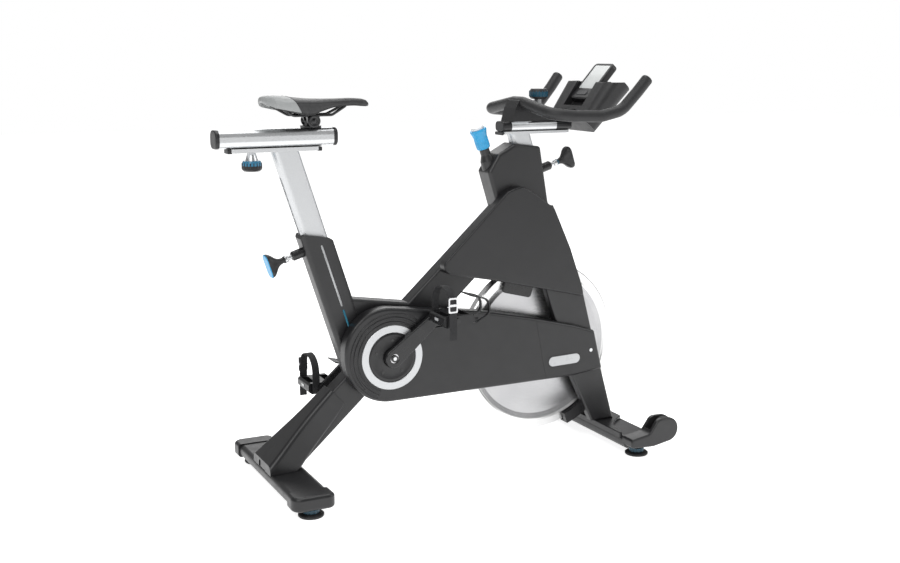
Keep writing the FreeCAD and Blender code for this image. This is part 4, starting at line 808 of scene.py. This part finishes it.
def make_tip_and_cheek(side, sign):
    """One side's domed end of the handlebar, and its round cheek on the saddle clamp."""
    tip = at(664, sign * 223, 1035)
    run = (tip - at(640, sign * 219, 1006)).normalized()
    verts, faces = lathed(TIP_DOME, tip, run, 40)
    piece("bar_tip_" + side, verts, faces, "bars", grip)
    x, z = SADDLE_PIVOT
    verts, faces = lathed(CHEEK_PROFILE, at(x, sign * 22.6, z), Vector((0, sign, 0)), 48)
    piece("clamp_cheek_" + side, verts, faces, "saddle_set", black_metal)


def make_screen():
    """The console's screen, sunk under its face and a little above its middle."""
    angle = math.radians(CONSOLE_LEAN)
    u = Vector((math.cos(angle), 0, math.sin(angle)))
    face = at(597, 0, 983) + u * (0.0635 + 0.014)
    depth = 0.0019
    verts, faces = extruded(round_corners(0.083, 0.075, 0.0035), face - u.cross(LEFT) * depth, u, LEFT, 0.0009)
    piece("console_screen", verts, faces, "bars", screen_finish(), bevel=0.0003)


# ------------------------------------------------------------------ stage

FLOOR_REACH = 14            # half the floor's size, in metres
FLOOR_GLOW = 0.8            # keeps the floor as white as the backdrop
BACKDROP_LIGHT = 0.38       # how strongly the white backdrop lights the bike
LAMPS = [("key", (-2.8, -3.0, 3.8), 2.6, 85.0), ("fill", (3.4, -2.2, 2.4), 2.4, 40.0),
         ("top", (0.2, 0.3, 4.2), 3.0, 75.0), ("back", (1.5, 3.6, 2.6), 2.6, 40.0)]     # place, size and power
LAMP_AIM = Vector((0.0, 0.0, 0.5))
LENS = 48.21
CAMERA_PLACE = (-1209.52, -2856.83, 1115.01)
CAMERA_PITCH = 10.91        # degrees below the horizontal, and turned to the right of straight across
CAMERA_YAW = 26.3


def make_floor():
    """A flat, pale floor."""
    floor = bpy.data.meshes.new("floor")
    verts = [(x, y, 0.0) for x in (-FLOOR_REACH, FLOOR_REACH) for y in (-FLOOR_REACH, FLOOR_REACH)]
    floor.from_pydata(verts, [], [[0, 2, 3, 1]])
    finish = Finish("floor")
    tone = finish.mix(finish.noise(0.8), rgba((0.90, 0.90, 0.90)), rgba((0.93, 0.93, 0.93)))
    white = (1.0, 1.0, 1.0, 1.0)
    finish.set(Base_Color=tone, Roughness=0.75, Emission_Color=white, Emission_Strength=FLOOR_GLOW)
    finish.relief(finish.noise(30.0), 0.01, 0.001)
    floor.materials.append(finish.material)
    plane = bpy.data.objects.new("floor", floor)
    bpy.context.scene.collection.objects.link(plane)


def make_lights():
    """Four soft lamps round the bike, and a backdrop that the camera sees as plain white."""
    for name, place, size, power in LAMPS:
        lamp = bpy.data.lights.new(name, "AREA")
        lamp.size = size
        lamp.energy = power
        holder = bpy.data.objects.new(name, lamp)
        holder.location = place
        holder.rotation_euler = (LAMP_AIM - Vector(place)).to_track_quat("-Z", "Y").to_euler()
        bpy.context.scene.collection.objects.link(holder)
    world = bpy.data.worlds.new("studio")
    bpy.context.scene.world = world
    world.use_nodes = True
    tree = world.node_tree
    backdrop = tree.nodes["Background"]
    backdrop.inputs[0].default_value = (1.0, 1.0, 1.0, 1.0)
    seen = tree.nodes.new("ShaderNodeLightPath").outputs["Is Camera Ray"]
    strength = tree.nodes.new("ShaderNodeMapRange")
    strength.inputs["To Min"].default_value = BACKDROP_LIGHT
    strength.inputs["To Max"].default_value = 1.0
    tree.links.new(seen, strength.inputs["Value"])
    tree.links.new(strength.outputs[0], backdrop.inputs[1])


def make_camera():
    """The camera, with plain colour management."""
    camera = bpy.data.cameras.new("camera")
    camera.lens = LENS
    camera.sensor_width = 36.0
    eye = bpy.data.objects.new("camera", camera)
    eye.location = at(*CAMERA_PLACE)
    eye.rotation_euler = (math.radians(90 - CAMERA_PITCH), 0, math.radians(-CAMERA_YAW))
    bpy.context.scene.collection.objects.link(eye)
    bpy.context.scene.camera = eye
    bpy.context.scene.view_settings.view_transform = "Standard"


make_saddle_pad()
make_saddle_piping()
for side, sign in (("right", 1), ("left", -1)):
    make_strap(side, sign)
make_guard_disc()
make_guard_ridges()
make_badge()
make_stripe("stripe_pale", 160, 330, pale)
make_stripe("stripe_teal", 70, 150, moulded("teal_stripe", STRIPE_TEAL, 0.4, 900.0, 0.05))
make_knob_ribs()
make_stops()
make_post_marks()
for side, sign in (("left", 1), ("right", -1)):
    make_tip_and_cheek(side, sign)
make_screen()
make_floor()
make_lights()
make_camera()
